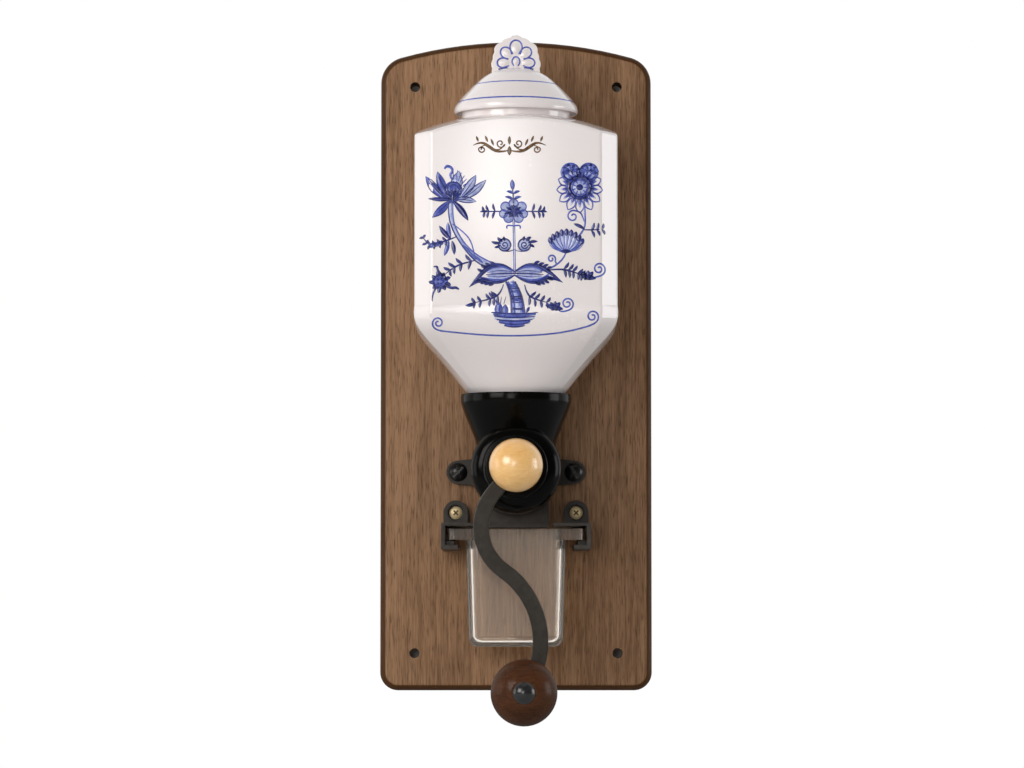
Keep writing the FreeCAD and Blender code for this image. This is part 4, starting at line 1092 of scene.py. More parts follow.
    def lay(self, surface: "SurfaceFinder") -> None:
        """Make one mesh piece of each tone and lay it on a surface.

        Args:
            surface: Gives how far out the surface is at each place.
        """
        film = self.film * MM
        for tone in Tone:
            if not self.strokes[tone]:
                continue
            mesh = self.tubes(tone)
            for vert in mesh.vertices:
                rise = max(-film, min(film, vert.co.y * self.squash))
                vert.co.y = surface.front(vert.co.x, vert.co.z) - TONE_LIFTS[tone] * MM + rise
            Piece(mesh.name, self.body, "porcelain", TONE_FINISHES[tone], sharp=math.pi).adopt(mesh)


class SurfaceFinder:
    """Finds the front of a piece at each place across and up."""

    def __init__(self, piece: bpy.types.Object, start: float = 0.2) -> None:
        """Read the piece's mesh.

        Args:
            piece: The piece that is painted.
            start: How far in front of the wall to look from, in metres.
        """
        bm = bmesh.new()
        bm.from_mesh(piece.data)
        self.tree = BVHTree.FromBMesh(bm)
        self.start = start
        bm.free()

    def front(self, across: float, up: float) -> float:
        """Find the piece's front at a place.

        Args:
            across: The place's X.
            up: Its Z.

        Returns:
            Y of the front there, or of the nearest place on the piece.
        """
        origin = Vector((across, -self.start, up))
        hit = self.tree.ray_cast(origin, Vector((0.0, 1.0, 0.0)))[0]
        return (hit or self.tree.find_nearest(origin)[0]).y


@dataclass
class BeanJar:
    """The porcelain jar's painted front: a garden in the old blue-and-white manner, and a gold scroll."""

    node: str = "hopper"
    blossom: Point = (-33.6, 91.0)
    cluster: Point = (-40.6, 41.6)
    heart: Point = (-1.3, 79.4)
    buds: tuple[Point, ...] = ((-6.1, 61.3), (4.5, 61.3))
    root: Point = (-0.7, 46.2)
    mound: Point = (-0.7, 22.0)
    rosette: Point = (34.1, 92.2)
    half_bloom: Point = (26.6, 57.2)
    scroll: Point = (-3.5, 114.0)

    def paint(self) -> None:
        """Draw every motif and lay the strokes on the jar."""
        art = Brushwork("jar_painting", Body.BASE)
        for draw in (self.draw_blossom, self.draw_main_stem, self.draw_left_twigs, self.draw_cluster,
                     self.draw_heart, self.draw_buds, self.draw_leaves, self.draw_trunk, self.draw_mound,
                     self.draw_rosette, self.draw_half_bloom, self.draw_tendrils, self.draw_underline,
                     self.draw_scroll):
            draw(art)
        art.lay(SurfaceFinder(frame["nodes"][self.node]))

    def draw_blossom(self, art: Brushwork) -> None:
        """Large open flower on the left.

        Args:
            art: The jar's brushwork.
        """
        eye = self.blossom
        for inside, base, tip, width, bend in (
                (Tone.MID, (-38.2, 86.2), (-48.4, 98.4), 4.6, 0.18),
                (Tone.MID, (-36.8, 87.0), (-42.0, 100.6), 4.8, 0.1),
                (Tone.WASH, (-29.4, 87.2), (-21.4, 98.8), 4.6, -0.15),
                (Tone.WASH, (-28.6, 86.0), (-16.0, 96.2), 4.2, -0.2),
                (Tone.WASH, (-34.2, 88.0), (-30.6, 101.0), 6.4, -0.1),
                (Tone.WASH, (-32.4, 85.8), (-21.2, 84.6), 3.4, 0.12),
                (Tone.MID, (-35.4, 84.9), (-44.8, 76.0), 4.0, 0.1)):
            art.outlined(inside, base, tip, width, bend)
            vein = [between(base, tip, share, bend * width * aside)
                    for share, aside in ((0.05, 0.0), (0.4, 1.0), (0.8, 0.5))]
            art.line(Tone.DARK, vein, 0.8)
        for base, tip, width in (
                ((-33.8, 86.0), (-47.0, 86.2), 2.9), ((-33.6, 84.8), (-25.6, 74.4), 4.2),
                ((-36.8, 88.4), (-41.8, 98.4), 1.8), ((-38.4, 87.6), (-46.6, 96.4), 1.6)):
            art.petal(Tone.DARK, base, tip, width, 0.12)
        art.disc(Tone.MID, eye, 5.0)
        art.disc(Tone.MID, (eye[0] - 0.6, eye[1] - 3.6), 4.2)
        art.spiral(Tone.DARK, (eye[0], eye[1] + 0.4), 4.4, 2.3, -60.0, 1, 0.85)
        for way in (-1, 0, 1):
            art.petal(Tone.DARK, *about(eye, ((-0.4, -6.0), (4.6 * way, -2.0))), 1.9, 0.2 * way)
        for step in range(6):
            start = polar(eye, 88.0 - step * 14.0, 5.4)
            end = polar(eye, 90.0 - step * 13.0, 11.2 - 0.5 * step)
            art.bow(Tone.MID, start, end, 0.2, 0.75, 1.0, 0.5)
        curl = ((-34.0, 96.0), (-35.8, 98.6), (-33.6, 101.0), (-35.0, 103.4), (-37.8, 103.6), (-38.2, 102.0))
        art.stroke(Tone.MID, curl, (0.4, 0.8, 0.8, 0.9, 0.9, 0.5))

    def draw_main_stem(self, art: Brushwork) -> None:
        """Thick stem that swings from the large flower to the root.

        Args:
            art: The jar's brushwork.
        """
        stem = ((-35.0, 85.0), (-35.2, 77.4), (-33.2, 69.6), (-28.4, 61.6), (-22.4, 55.0), (-16.4, 51.2),
                (-9.0, 49.8))
        halves = (1.2, 1.2, 0.9, 0.9, 1.5, 2.1, 1.7)
        art.stroke(Tone.WASH, stem, halves)
        for side, tone in zip(SIDES, (Tone.DARK, Tone.MID)):
            edge = [between(a, b, 0.0, side * half) for a, b, half in zip(stem, stem[1:], halves)]
            art.line(tone, [*edge, stem[-1]], 0.85, 0.8, 0.5)
        art.line(Tone.MID, ((-34.0, 72.6), (-27.4, 68.0), (-23.2, 62.0), (-22.2, 55.6)), 0.85, 0.7, 0.7)
        for start, end in (((-25.0, 57.6), (-21.0, 53.2)), ((-22.8, 56.0), (-17.4, 51.4)),
                           ((-28.4, 61.4), (-24.0, 56.8))):
            art.petal(Tone.MID, start, end, 1.7)

    def draw_left_twigs(self, art: Brushwork) -> None:
        """Leaf twigs below the large flower.

        Args:
            art: The jar's brushwork.
        """
        for tone, base, tip, width in (
                (Tone.DARK, (-35.0, 64.4), (-41.0, 71.6), 3.2), (Tone.MID, (-35.0, 64.8), (-36.4, 73.4), 3.0),
                (Tone.MID, (-36.0, 63.6), (-38.4, 55.4), 3.0),
                (Tone.DARK, (-34.2, 63.4), (-33.0, 56.0), 2.8)):
            art.petal(tone, base, tip, width, 0.12)
            art.bow(Tone.DARK, base, tip, 0.3, 0.6)
        twig = ((-31.4, 65.8), (-36.0, 64.0), (-42.0, 61.8), (-47.2, 61.4), (-49.8, 65.6))
        art.sprig(twig, 6, (3.2, 1.8), 62.0, 0.3)
        for spot in ((-42.6, 61.6), (-45.4, 61.0), (-40.2, 62.4)):
            art.disc(Tone.MID, spot, 1.5)
        art.sprig(((-21.8, 53.0), (-28.6, 51.4), (-34.2, 48.8), (-38.4, 45.0)), 5, (5.0, 2.0), 58.0, 0.16)

    def draw_cluster(self, art: Brushwork) -> None:
        """Berry cluster with pointed leaves and three tails.

        Args:
            art: The jar's brushwork.
        """
        art.disc(Tone.MID, self.cluster, 4.4)
        for step in range(9):
            art.ray(Tone.DARK, self.cluster, 20.0 + step * 40.0, (2.6, 6.2 - 0.8 * (step % 2)), 2.5, 0.15)
        for turn, count, reach in ((0.0, 5, 1.6), (24.0, 8, 3.5)):
            for step in range(count):
                art.disc(Tone.DARK, polar(self.cluster, step * 360.0 / count + turn, reach), 0.85)
        for width, path in ((1.5, ((-39.6, 45.4), (-42.0, 47.2), (-42.0, 50.2), (-44.0, 49.6))),
                            (1.8, ((-38.0, 39.8), (-34.6, 37.8), (-32.0, 38.8), (-30.4, 37.4))),
                            (1.3, ((-42.6, 38.4), (-45.0, 35.2), (-44.8, 31.0)))):
            art.line(Tone.DARK, path, width, 0.9, 0.5)

    def draw_heart(self, art: Brushwork) -> None:
        """Upright middle stem with a small flower and cross sprigs.

        Args:
            art: The jar's brushwork.
        """
        heart = self.heart
        for side in (-0.42, 0.42):
            stem = about(heart, ((0.1 + side, -4.0), (0.4 + side, -16.0), (0.6 + side, -33.0)))
            art.line(Tone.MID, stem, 0.6, 1.0, 1.0)
        for x, z, radius in ((0.0, 4.0, 2.6), (-4.3, 2.4, 2.6), (4.3, 2.4, 2.6), (-5.4, -1.4, 2.2),
                             (5.4, -1.4, 2.2), (-2.7, -3.6, 2.6), (2.7, -3.6, 2.6)):
            near, lobe, far = about(heart, [(x * share, z * share) for share in (0.25, 1.0, 0.95)])
            art.disc(Tone.WASH, lobe, radius)
            art.ring(Tone.MID, lobe, radius, 0.7)
            art.petal(Tone.DARK, near, far, 1.5)
        art.disc(Tone.MID, heart, 3.4)
        for step in range(8):
            art.ray(Tone.DARK, heart, 20.0 + step * 45.0, (0.0, 3.6), 1.3)
        for way in (-1, 1):
            art.sprig(about(heart, ((6.6, -0.2), (11.5, 0.0), (15.6, -0.4)), way), 3, (4.4, 1.7), 72.0, 0.4)
            art.petal(Tone.DARK, *about(heart, ((13.6, -0.3), (18.0, -0.4)), way), 1.7, 0.2 * way)
            curl = about(heart, ((0.2 * way, -8.0), (2.4, -7.4), (4.0, -8.2), (3.4, -9.4)), way)
            art.line(Tone.MID, curl, 0.9, 0.9, 0.9)
            for rise, reach in ((7.2, 4.4), (10.2, 3.6)):
                leaf = about(heart, ((0.0, rise - 1.0), (reach - 0.2 * way, rise + 0.5)), way)
                art.petal(Tone.MID, *leaf, 1.9, 0.25 * way)
                vein = ((0.0, rise - 1.0), (reach * 0.5, rise), (reach, rise + 0.6))
                art.line(Tone.DARK, about(heart, vein, way), 0.6)
        art.line(Tone.DARK, about(heart, ((0.0, 4.0), (-0.2, 9.0), (-0.6, 13.0))), 0.9, 1.0, 1.0)
        art.outlined(Tone.MID, *about(heart, ((-0.4, 11.4), (-0.8, 17.0))), 2.2)

    def draw_buds(self, art: Brushwork) -> None:
        """Pair of curled buds on the middle stem.

        Args:
            art: The jar's brushwork.
        """
        stem = self.heart[0] + 0.4
        for bud, way in zip(self.buds, (-1, 1)):
            art.disc(Tone.WASH, bud, 3.4)
            art.ring(Tone.DARK, bud, 3.4, 0.9)
            art.spiral(Tone.DARK, bud, 2.3, 1.4, 90.0 - 90.0 * way, -way, 0.8)
            for angle, reach, width in ((28.0, 7.4, 2.0), (62.0, 5.6, 2.2), (0.0, 5.6, 1.8),
                                        (100.0, 4.6, 1.8)):
                turn = angle if way > 0 else 180.0 - angle
                art.petal(Tone.DARK, polar(bud, turn, 2.2), polar(bud, turn - 14.0 * way, reach), width, 0.2)
            stalk = about(bud, ((-2.6, -3.8), (0.8, -3.4)), way)
            art.line(Tone.DARK, [(stem, bud[1] - 2.6), *stalk], 0.9)

    def draw_leaves(self, art: Brushwork) -> None:
        """Two broad leaves that spread from the root, with pale middles and toothed dark edges.

        Args:
            art: The jar's brushwork.
        """
        for way, lift in ((-1, 0.0), (1, 1.6)):
            tip = (24.4 + 0.8 * lift, -7.6 + lift * 1.6)
            top = ((0.0, 0.8), (4.2, 4.0), (9.4, 5.0), (14.2, 3.4), (18.0, -0.6 + lift), tip)
            low = ((0.0, -1.2), (4.8, -4.4), (10.0, -5.2), (14.6, -4.4), (18.4, -3.0 + lift), tip)
            top, low = about(self.root, top, way), about(self.root, low, way)
            middle = [between(a, b, 0.5) for a, b in zip(top, low)]
            for side, edge, halves in ((1.0, top, (0.35, 0.6, 0.8, 1.2, 1.5, 0.15)),
                                       (-1.0, low, (0.35, 0.7, 1.0, 1.3, 1.3, 0.15))):
                art.stroke(Tone.DARK, edge, halves)
                inner = [between(a, b, 0.24) for a, b in zip(edge[:5], middle)]
                art.stroke(Tone.MID, inner, (0.3, 0.5, 0.7, 1.0, 1.0))
                for start, end in zip(edge[2:4], edge[3:5]):
                    for share in (0.15, 0.65):
                        tooth = about(between(start, end, share), ((0.0, 0.0), (3.4, 1.5 * side)), way)
                        art.petal(Tone.DARK, *tooth, 2.0, 0.1)
            for side in SIDES:
                base, end = about(self.root, ((1.2, -0.2 + 0.9 * side), (14.6, -0.6 + 0.9 * side)), way)
                left = side * way
                art.petal(Tone.WASH, base, end, 6.0, 0.26 * left)
                art.bow(Tone.DARK, base, end, 1.7 * left, 0.5)
                vein = [base, between(base, end, 0.4, 0.9 * left), between(base, end, 0.8, 0.4 * left)]
                art.line(Tone.MID, vein, 0.5)
            art.line(Tone.DARK, about(self.root, ((0.0, -0.2), (7.0, -0.1), (15.4, -0.9)), way),
                     0.9, 1.0, 0.5)

    def draw_trunk(self, art: Brushwork) -> None:
        """Short banded trunk.

        Args:
            art: The jar's brushwork.
        """
        trunk = ((-3.0, 41.6), (-0.6, 36.6), (0.7, 30.6), (1.2, 24.4))
        halves = (2.3, 2.8, 3.1, 3.6)
        art.stroke(Tone.WASH, trunk, halves)
        for side in SIDES:
            outer, inner = ([(x + side * half * share, z) for (x, z), half in zip(trunk, halves)]
                            for share in (1.0, 0.62))
            art.line(Tone.DARK, outer, 1.2, 1.0, 1.0)
            art.stroke(Tone.MID, inner, (0.7, 0.9, 1.0, 1.1))
        fine = smooth_line(trunk, 4)
        for step, tone, width in ((2, Tone.MID, 2.2), (3, Tone.DARK, 0.9), (4, Tone.MID, 1.6),
                                  (6, Tone.DARK, 1.2), (7, Tone.MID, 2.2), (8, Tone.DARK, 0.8),
                                  (10, Tone.DARK, 1.5)):
            art.line(tone, about(fine[step], ((-2.9, 0.2), (0.0, -0.7), (2.9, 0.2))), width, 0.8, 0.8)

    def draw_mound(self, art: Brushwork) -> None:
        """Rounded mound with a small rock and grass.

        Args:
            art: The jar's brushwork.
        """
        mound = self.mound
        for tone, rise, reach, width in (
                (Tone.MID, 2.0, 11.4, 2.8), (Tone.WASH, -0.2, 10.6, 2.8), (Tone.MID, -2.0, 8.4, 2.6),
                (Tone.MID, -3.6, 5.2, 1.8), (Tone.DARK, 2.6, 12.4, 1.0), (Tone.DARK, 0.6, 11.0, 0.9),
                (Tone.DARK, -1.2, 9.6, 1.0), (Tone.DARK, -4.4, 5.6, 0.9), (Tone.DARK, -3.0, 8.0, 0.7)):
            bank = [(reach * share, rise + lift)
                    for share, lift in ((-1.0, 0.5), (-0.5, -0.3), (0.5, -0.3), (1.0, 0.5))]
            art.line(tone, about(mound, bank), width, 0.8, 0.5)
        for x, top, width in ((-8.8, 8.6, 5.4), (-5.4, 7.4, 4.6)):
            base, tip = about(mound, ((x, 1.0), (x + 0.4, top)))
            art.petal(Tone.MID, base, tip, width)
            for side in SIDES:
                art.bow(Tone.DARK, base, tip, side * width / 2, 0.8)
        for x, lean in ((-9.6, -1.4), (-7.6, 0.6), (-5.8, 1.2)):
            art.line(Tone.DARK, about(mound, ((x, 7.6), (x + lean * 0.4, 9.4), (x + lean, 11.6))), 0.7)
        art.petal(Tone.DARK, *about(mound, ((6.2, 3.0), (8.0, 6.2))), 2.0)

    def draw_rosette(self, art: Brushwork) -> None:
        """Round flower on the right: two crown lobes, a ring of open petals and a dark eye.

        Args:
            art: The jar's brushwork.
        """
        centre = self.rosette
        for way in (-1, 1):
            lobe = (centre[0] + 4.9 * way, centre[1] + 8.0)
            art.disc(Tone.WASH, lobe, 5.4)
            art.ring(Tone.MID, lobe, 4.6, 2.0)
            for step in range(5):
                art.ray(Tone.MID, lobe, 90.0 - way * (step * 40.0 - 66.0), (0.4, 5.2), 2.4)
        for step in range(13):
            angle = -90.0 + step * 360.0 / 13
            drop = 1.6 * max(0.0, -math.sin(math.radians(angle)))
            base, tip = polar(centre, angle, 5.0), polar(centre, angle, 12.2 + drop)
            for side in SIDES:
                edge = [base, between(base, tip, 0.45, side * 2.4), between(base, tip, 0.8, side * 2.0), tip]
                art.line(Tone.MID, edge, 0.9, 0.9, 0.7)
            art.petal(Tone.WASH, between(base, tip, 0.15), between(base, tip, 0.7), 1.8)
            art.ray(Tone.MID, centre, angle, (4.4, 9.4), 2.6)
            art.ray(Tone.DARK, centre, angle, (4.6, 8.2), 1.4)
        art.disc(Tone.WASH, centre, 4.4)
        art.ring(Tone.DARK, centre, 5.9, 2.6)
        art.ring(Tone.MID, centre, 4.2, 1.0)
        for step in range(9):
            art.ray(Tone.MID, centre, step * 40.0, (2.0, 4.6), 1.0)
        art.disc(Tone.DARK, centre, 1.9)
        stem = about(centre, ((2.6, -10.6), (3.2, -18.0), (2.0, -23.6), (-1.6, -27.6)))
        art.line(Tone.MID, stem, 1.2, 0.9, 0.9)
        curl, *lead = about(centre, ((-3.6, -15.6), (2.8, -20.0), (1.4, -14.0)))
        art.spiral(Tone.MID, curl, 3.5, 1.3, 60.0, 1, 1.0, lead)
        art.petal(Tone.DARK, *about(centre, ((2.6, -22.6), (-3.4, -19.6))), 2.2, -0.2)
        art.sprig(about(centre, ((2.4, -22.8), (7.0, -23.0), (12.4, -22.4))), 3, (4.4, 1.8), 68.0, 0.42)

    def draw_half_bloom(self, art: Brushwork) -> None:
        """Bowl-shaped flower on the right with pale petals and scalloped dark tips.

        Args:
            art: The jar's brushwork.
        """
        centre = self.half_bloom
        middle = 88.0
        for step in range(-4, 5):
            bow = step * 0.8
            base = (centre[0] + step * -0.2, centre[1] + 0.6)
            tip = polar(centre, middle + step * 12.4, 11.6 - abs(step) * 0.15)
            art.stroke(Tone.WASH, [base, between(base, tip, 0.5, bow), tip], (0.3, 1.2, 1.5))
            for side in SIDES:
                art.line(Tone.MID, [base, between(base, tip, 0.5, bow + side * 1.1),
                                    between(base, tip, 0.92, bow * 0.3 + side * 1.2)], 0.75)
            art.petal(Tone.DARK, between(base, tip, 0.76, bow * 0.5), between(base, tip, 1.12), 3.2)
        for way in (-1, 1):
            foot = about(centre, ((0.0, -0.2), (6.4, 1.8)), way)
            art.stroke(Tone.MID, [*foot, polar(centre, middle - 52.0 * way, 10.6)], (0.5, 1.1, 1.2))
        art.petal(Tone.DARK, *about(centre, ((-2.6, 0.8), (2.6, 0.6))), 2.6)
        stem = about(centre, ((0.0, -0.4), (-1.2, -3.2), (-5.0, -6.8), (-9.6, -9.0), (-13.6, -10.0)))
        art.line(Tone.MID, stem, 1.1, 0.8, 0.8)
        curl, *lead = about(centre, ((-7.7, -3.4), (-6.4, -7.8), (-4.7, -5.6)))
        art.spiral(Tone.MID, curl, 2.5, 1.3, -40.0, 1, 1.0, lead)

    def draw_tendrils(self, art: Brushwork) -> None:
        """Side tendrils with leaflets, a dark leaf and a curl.

        Args:
            art: The jar's brushwork.
        """
        for pairs, path in ((5, ((16.0, 47.6), (23.0, 48.6), (30.0, 47.2), (35.0, 45.2))),
                            (5, ((-6.6, 40.2), (-8.2, 35.0), (-13.4, 32.2), (-22.6, 30.2))),
                            (4, ((4.6, 40.0), (5.6, 34.6), (10.6, 32.0), (16.8, 30.4)))):
            art.sprig(path, pairs, (4.8, 1.9), 64.0, 0.48)
        art.petal(Tone.DARK, (-21.6, 30.4), (-27.0, 28.8), 2.4, 0.2)
        for spot, curl, size in (((38.4, 44.2), (44.4, 48.4), 3.9), ((20.8, 27.8), (27.4, 29.8), 3.7)):
            for rise, reach in ((2.8, -2.6), (3.4, 0.2), (2.8, 2.8), (-1.6, -2.0), (-1.8, 1.0)):
                art.petal(Tone.DARK, *about(spot, ((reach * 0.3, 0.0), (reach, rise))), 2.6)
            art.petal(Tone.DARK, *about(spot, ((-5.0, 1.2), (4.4, -1.0))), 4.0)
            lead = [(spot[0] + 1.6, spot[1] - 1.2), (curl[0] - 3.6, curl[1] - size - 0.9)]
            art.spiral(Tone.MID, curl, size, 1.6, -80.0, 1, 1.05, lead)

    def draw_underline(self, art: Brushwork) -> None:
        """Ground line with a curl at each end.

        Args:
            art: The jar's brushwork.
        """
        ground = ((-40.6, 15.4), (-30.0, 14.2), (-15.0, 12.9), (0.0, 12.6), (15.0, 13.2), (30.0, 15.2),
                  (40.0, 18.2))
        art.line(Tone.MID, ground, 1.0, 1.0, 1.0)
        art.spiral(Tone.MID, (-41.6, 19.5), 3.5, 1.5, 250.0, -1, 1.05, [ground[1], ground[0]])
        art.spiral(Tone.MID, (40.8, 22.9), 3.7, 1.5, -60.0, 1, 1.05, ground[-2:])

    def draw_scroll(self, art: Brushwork) -> None:
        """Small symmetrical gold scroll of curls and leaves, high on the jar.

        Args:
            art: The jar's brushwork.
        """
        scroll = self.scroll
        for way in (-1, 1):
            wave = about(scroll, ((0.6, -2.0), (6.0, -3.4), (11.0, 0.2), (15.4, 3.0), (19.4, 0.8)), way)
            art.stroke(Tone.GOLD, wave, (0.3, 0.8, 1.1, 0.6, 0.2))
            inner, *lead = about(scroll, ((4.8, 1.8), (9.4, -0.8), (5.6, -2.6)), way)
            art.spiral(Tone.GOLD, inner, 2.6, 1.3, 90.0 + 90.0 * way, way, 0.9, lead)
            outer, *lead = about(scroll, ((14.6, -1.4), (11.6, 1.4)), way)
            art.spiral(Tone.GOLD, outer, 2.1, 1.2, 90.0 - 60.0 * way, -way, 0.85, lead)
            for reach, rise, size in ((8.4, 1.2, 3.2), (11.6, 3.2, 2.8), (16.6, 3.4, 2.4)):
                leaf = about(scroll, ((reach, rise - 0.6), (reach + size * 0.5, rise + size)), way)
                art.petal(Tone.GOLD, *leaf, 1.5)
        art.petal(Tone.GOLD, *about(scroll, ((0.0, -4.6), (0.0, 0.4))), 2.4)
        art.petal(Tone.GOLD, *about(scroll, ((0.0, 1.2), (0.0, 5.8))), 1.9)


@dataclass
class JarLid:
    """The porcelain lid: a turned dome with a plug and blue lines, and an upright fan of petals."""

    out: float = 62.0
    plug_radius: float = 25.1
    plug_inside: float = 21.1
    plug_foot: float = 129.5
    plug_round: float = 0.6
    seat: float = 137.5
    wall: float = 4.0
    inner_share: float = 0.72
    crown_gap: float = 0.4
    collar_drop: float = 1.6
    dome: tuple[Point, ...] = (
        (33.8, 137.9), (33.6, 139.4), (32.9, 140.9), (30.9, 143.7), (27.4, 147.6), (22.9, 152.1),
        (18.2, 156.2), (13.2, 159.2), (8.5, 160.8), (4.5, 161.4), (0.0, 161.5))
    dome_steps: int = 6
    rim: tuple[Point, ...] = (
        (0.0, 0.0), (4.5, 0.0), (5.1, 1.3), (6.5, 1.5), (7.1, -0.2), (7.4, -1.0), (7.9, -1.2), (8.4, -0.8))
    line_heights: tuple[float, ...] = (142.2, 151.9)
    line_width: float = 1.2
    line_film: float = 0.06
    fan_foot: float = 159.4
    fan_thickness: float = 6.6
    petal_rise: float = 0.8
    voxel: float = 0.3
    lobes: tuple[Place, ...] = (
        (0.0, 15.6, 4.5), (3.6, 13.6, 5.0), (7.3, 11.7, 4.6), (8.4, 8.0, 4.3), (8.8, 4.2, 4.7),
        (9.0, 0.4, 4.2), (0.0, 7.0, 8.6), (4.0, 0.6, 4.6))
    petals: tuple[Place, ...] = ((90.0, 8.8, 3.3), (42.0, 7.6, 2.9), (-5.0, 7.4, 2.6))
    petal_base: float = 2.4
    petal_line: tuple[Point, ...] = ((0.0, 0.62), (0.45, 0.95), (0.85, 0.8), (1.06, 0.3))
    eye: Point = (0.0, 5.6)
    eye_half: Point = (2.0, 2.5)
    finish: Finish = PORCELAIN

    def make(self) -> None:
        """Build the dome, its lines, the fan and the fan's blue outlines."""
        dome = smooth_line(self.dome, self.dome_steps)
        turned = lathe(self.shell(dome), self.out)
        Piece("lid_dome", Body.LID, "porcelain", self.finish, ("lid",)).make(turned)
        for index, height in enumerate(self.line_heights):
            self.make_line(index, dome, height)
        self.outline_fan(self.make_fan())

    def shell(self, outside: list[Point]) -> list[Point]:
        """Give the lid's whole section.

        Args:
            outside: The dome's outside from the rim to the crown.

        Returns:
            The section from the inside of the crown, down the plug, under the rim and up to the crown.
        """
        bore, plug, foot, corner = self.plug_inside, self.plug_radius, self.plug_foot, self.plug_round
        inner = [(radius * self.inner_share, height - self.wall) for radius, height in reversed(outside)
                 if radius * self.inner_share < bore - self.crown_gap]
        under = [(bore, inner[-1][1] - self.collar_drop), (bore, foot + corner), (bore + corner, foot),
                 (plug - corner, foot), (plug, foot + corner)]
        return [*inner, *under, *about((plug, self.seat), self.rim), *outside]

    def make_line(self, index: int, dome: list[Point], height: float) -> None:
        """Lay one blue line round the dome.

        Args:
            index: The line's number, for its name.
            dome: The dome's outside from the rim to the crown.
            height: The line's height.
        """
        low, high = next((a, b) for a, b in zip(dome, dome[1:]) if a[1] <= height <= b[1])
        across, up = high[0] - low[0], high[1] - low[1]
        radius, length = low[0] + across * (height - low[1]) / up, math.hypot(across, up)
        across, up, half = across / length, up / length, self.line_width / 2
        section = [(radius + across * half * along + up * self.line_film * away,
                    height + up * half * along - across * self.line_film * away)
                   for along, away in ((-1.0, -1.0), (-0.7, 1.0), (0.7, 1.0), (1.0, -1.0))]
        Piece(f"lid_line_{index}", Body.LID, "porcelain", COBALT_MID).make(
            lathe(section, self.out, closed=True))

    def fan_lobes(self) -> list[Place]:
        """Give the lobes on both sides of the fan as (across, up, radius)."""
        return [(across * way, up, radius) for across, up, radius in self.lobes
                for way in ((-1, 1) if across else (1,))]

    def fan_petals(self) -> list[Place]:
        """Give the petals on both sides of the fan as (angle, length, half width)."""
        return [(angle if way > 0 else 180.0 - angle, length, width) for angle, length, width in self.petals
                for way in ((-1, 1) if angle != 90.0 else (1,))]

    def fan_place(self, across: float, up: float) -> Matrix:
        """Give a place in the fan's middle plane, across and up from its foot."""
        return Matrix.Translation((across * MM, -self.out * MM, (self.fan_foot + up) * MM))

    def add_plate(self, bm: bmesh.types.BMesh, lobe: Place, depth: float) -> None:
        """Add a round plate of the fan's flat border.

        Args:
            bm: The fan.
            lobe: The plate's place across and up, and its radius.
            depth: Its thickness.
        """
        across, up, radius = lobe
        new = bmesh.ops.create_cone(bm, cap_ends=True, segments=48, radius1=radius * MM, radius2=radius * MM,
                                    depth=depth * MM)["verts"]
        upright = self.fan_place(across, up) @ Matrix.Rotation(QUARTER, 4, "X")
        bmesh.ops.transform(bm, matrix=upright, verts=new)

    def add_pad(self, bm: bmesh.types.BMesh, middle: Point, half: Point, turn: float = 0.0) -> None:
        """Add a flattened ball as thick as the fan.

        Args:
            bm: The fan.
            middle: Its place across and up.
            half: Its half length and half width.
            turn: Where its length points, in degrees from the right.
        """
        new = bmesh.ops.create_uvsphere(bm, u_segments=32, v_segments=20, radius=MM)["verts"]
        matrix = self.fan_place(*middle) @ Matrix.Rotation(-math.radians(turn), 4, "Y")
        matrix @= Matrix.Diagonal((half[0], self.fan_thickness / 2, half[1], 1.0))
        bmesh.ops.transform(bm, matrix=matrix, verts=new)

    def make_fan(self) -> bpy.types.Object:
        """Model the fan from round plates and raised petals, joined and softened.

        Returns:
            The fan.
        """
        bm = bmesh.new()
        for lobe in self.fan_lobes():
            self.add_plate(bm, lobe, self.fan_thickness - 2.0 * self.petal_rise)
        for angle, length, width in self.fan_petals():
            middle = polar(self.eye, angle, self.petal_base + length / 2)
            self.add_pad(bm, middle, (length / 2 + 0.3, width), angle)
        self.add_pad(bm, self.eye, self.eye_half)
        rough = show("fan_rough", to_mesh("fan_rough", bm))
        remesh = rough.modifiers.new("join", "REMESH")
        remesh.mode = "VOXEL"
        remesh.voxel_size = self.voxel * MM
        soften = rough.modifiers.new("soften", "SMOOTH")
        soften.factor = 0.5
        soften.iterations = 5
        return Piece("lid_fan", Body.LID, "porcelain", self.finish, sharp=math.pi).adopt(applied(rough))

    def outline_fan(self, fan: bpy.types.Object) -> None:
        """Draw the blue outlines of the petals and the eye on the fan's front.

        Args:
            fan: The finished fan.
        """
        art = Brushwork("fan_lines", Body.LID)
        foot = (0.0, self.fan_foot)
        eye = (self.eye[0], self.eye[1] + self.fan_foot)
        for angle, length, width in self.fan_petals():
            start, end = polar(eye, angle, 3.9), polar(eye, angle, 2.5 + length)
            left, right = ([between(start, end, share, side * width * art.overlap * reach)
                            for share, reach in self.petal_line] for side in (1.0, -1.0))
            art.line(Tone.MID, [*left, *reversed(right)], 1.0, 0.7, 0.7)
        loop = [polar((0.0, 0.0), -62.0 + step * 304.0 / 9, 2.5) for step in range(10)]
        art.line(Tone.MID, about(eye, [(x * 0.86, z * 1.1) for x, z in loop]), 1.0, 0.8, 0.8)
        for way in (-1, 1):
            art.line(Tone.DARK, about(foot, ((4.4, 2.3), (7.0, 1.8), (9.6, 1.5)), way), 0.9, 0.8, 0.8)
        art.lay(SurfaceFinder(fan))


def aim(holder: bpy.types.Object, place: Place, target: Place) -> None:
    """Put a lamp or the camera at a place and turn it to its target."""
    holder.location = place
    holder.rotation_euler = (Vector(target) - Vector(place)).to_track_quat("-Z", "Y").to_euler()


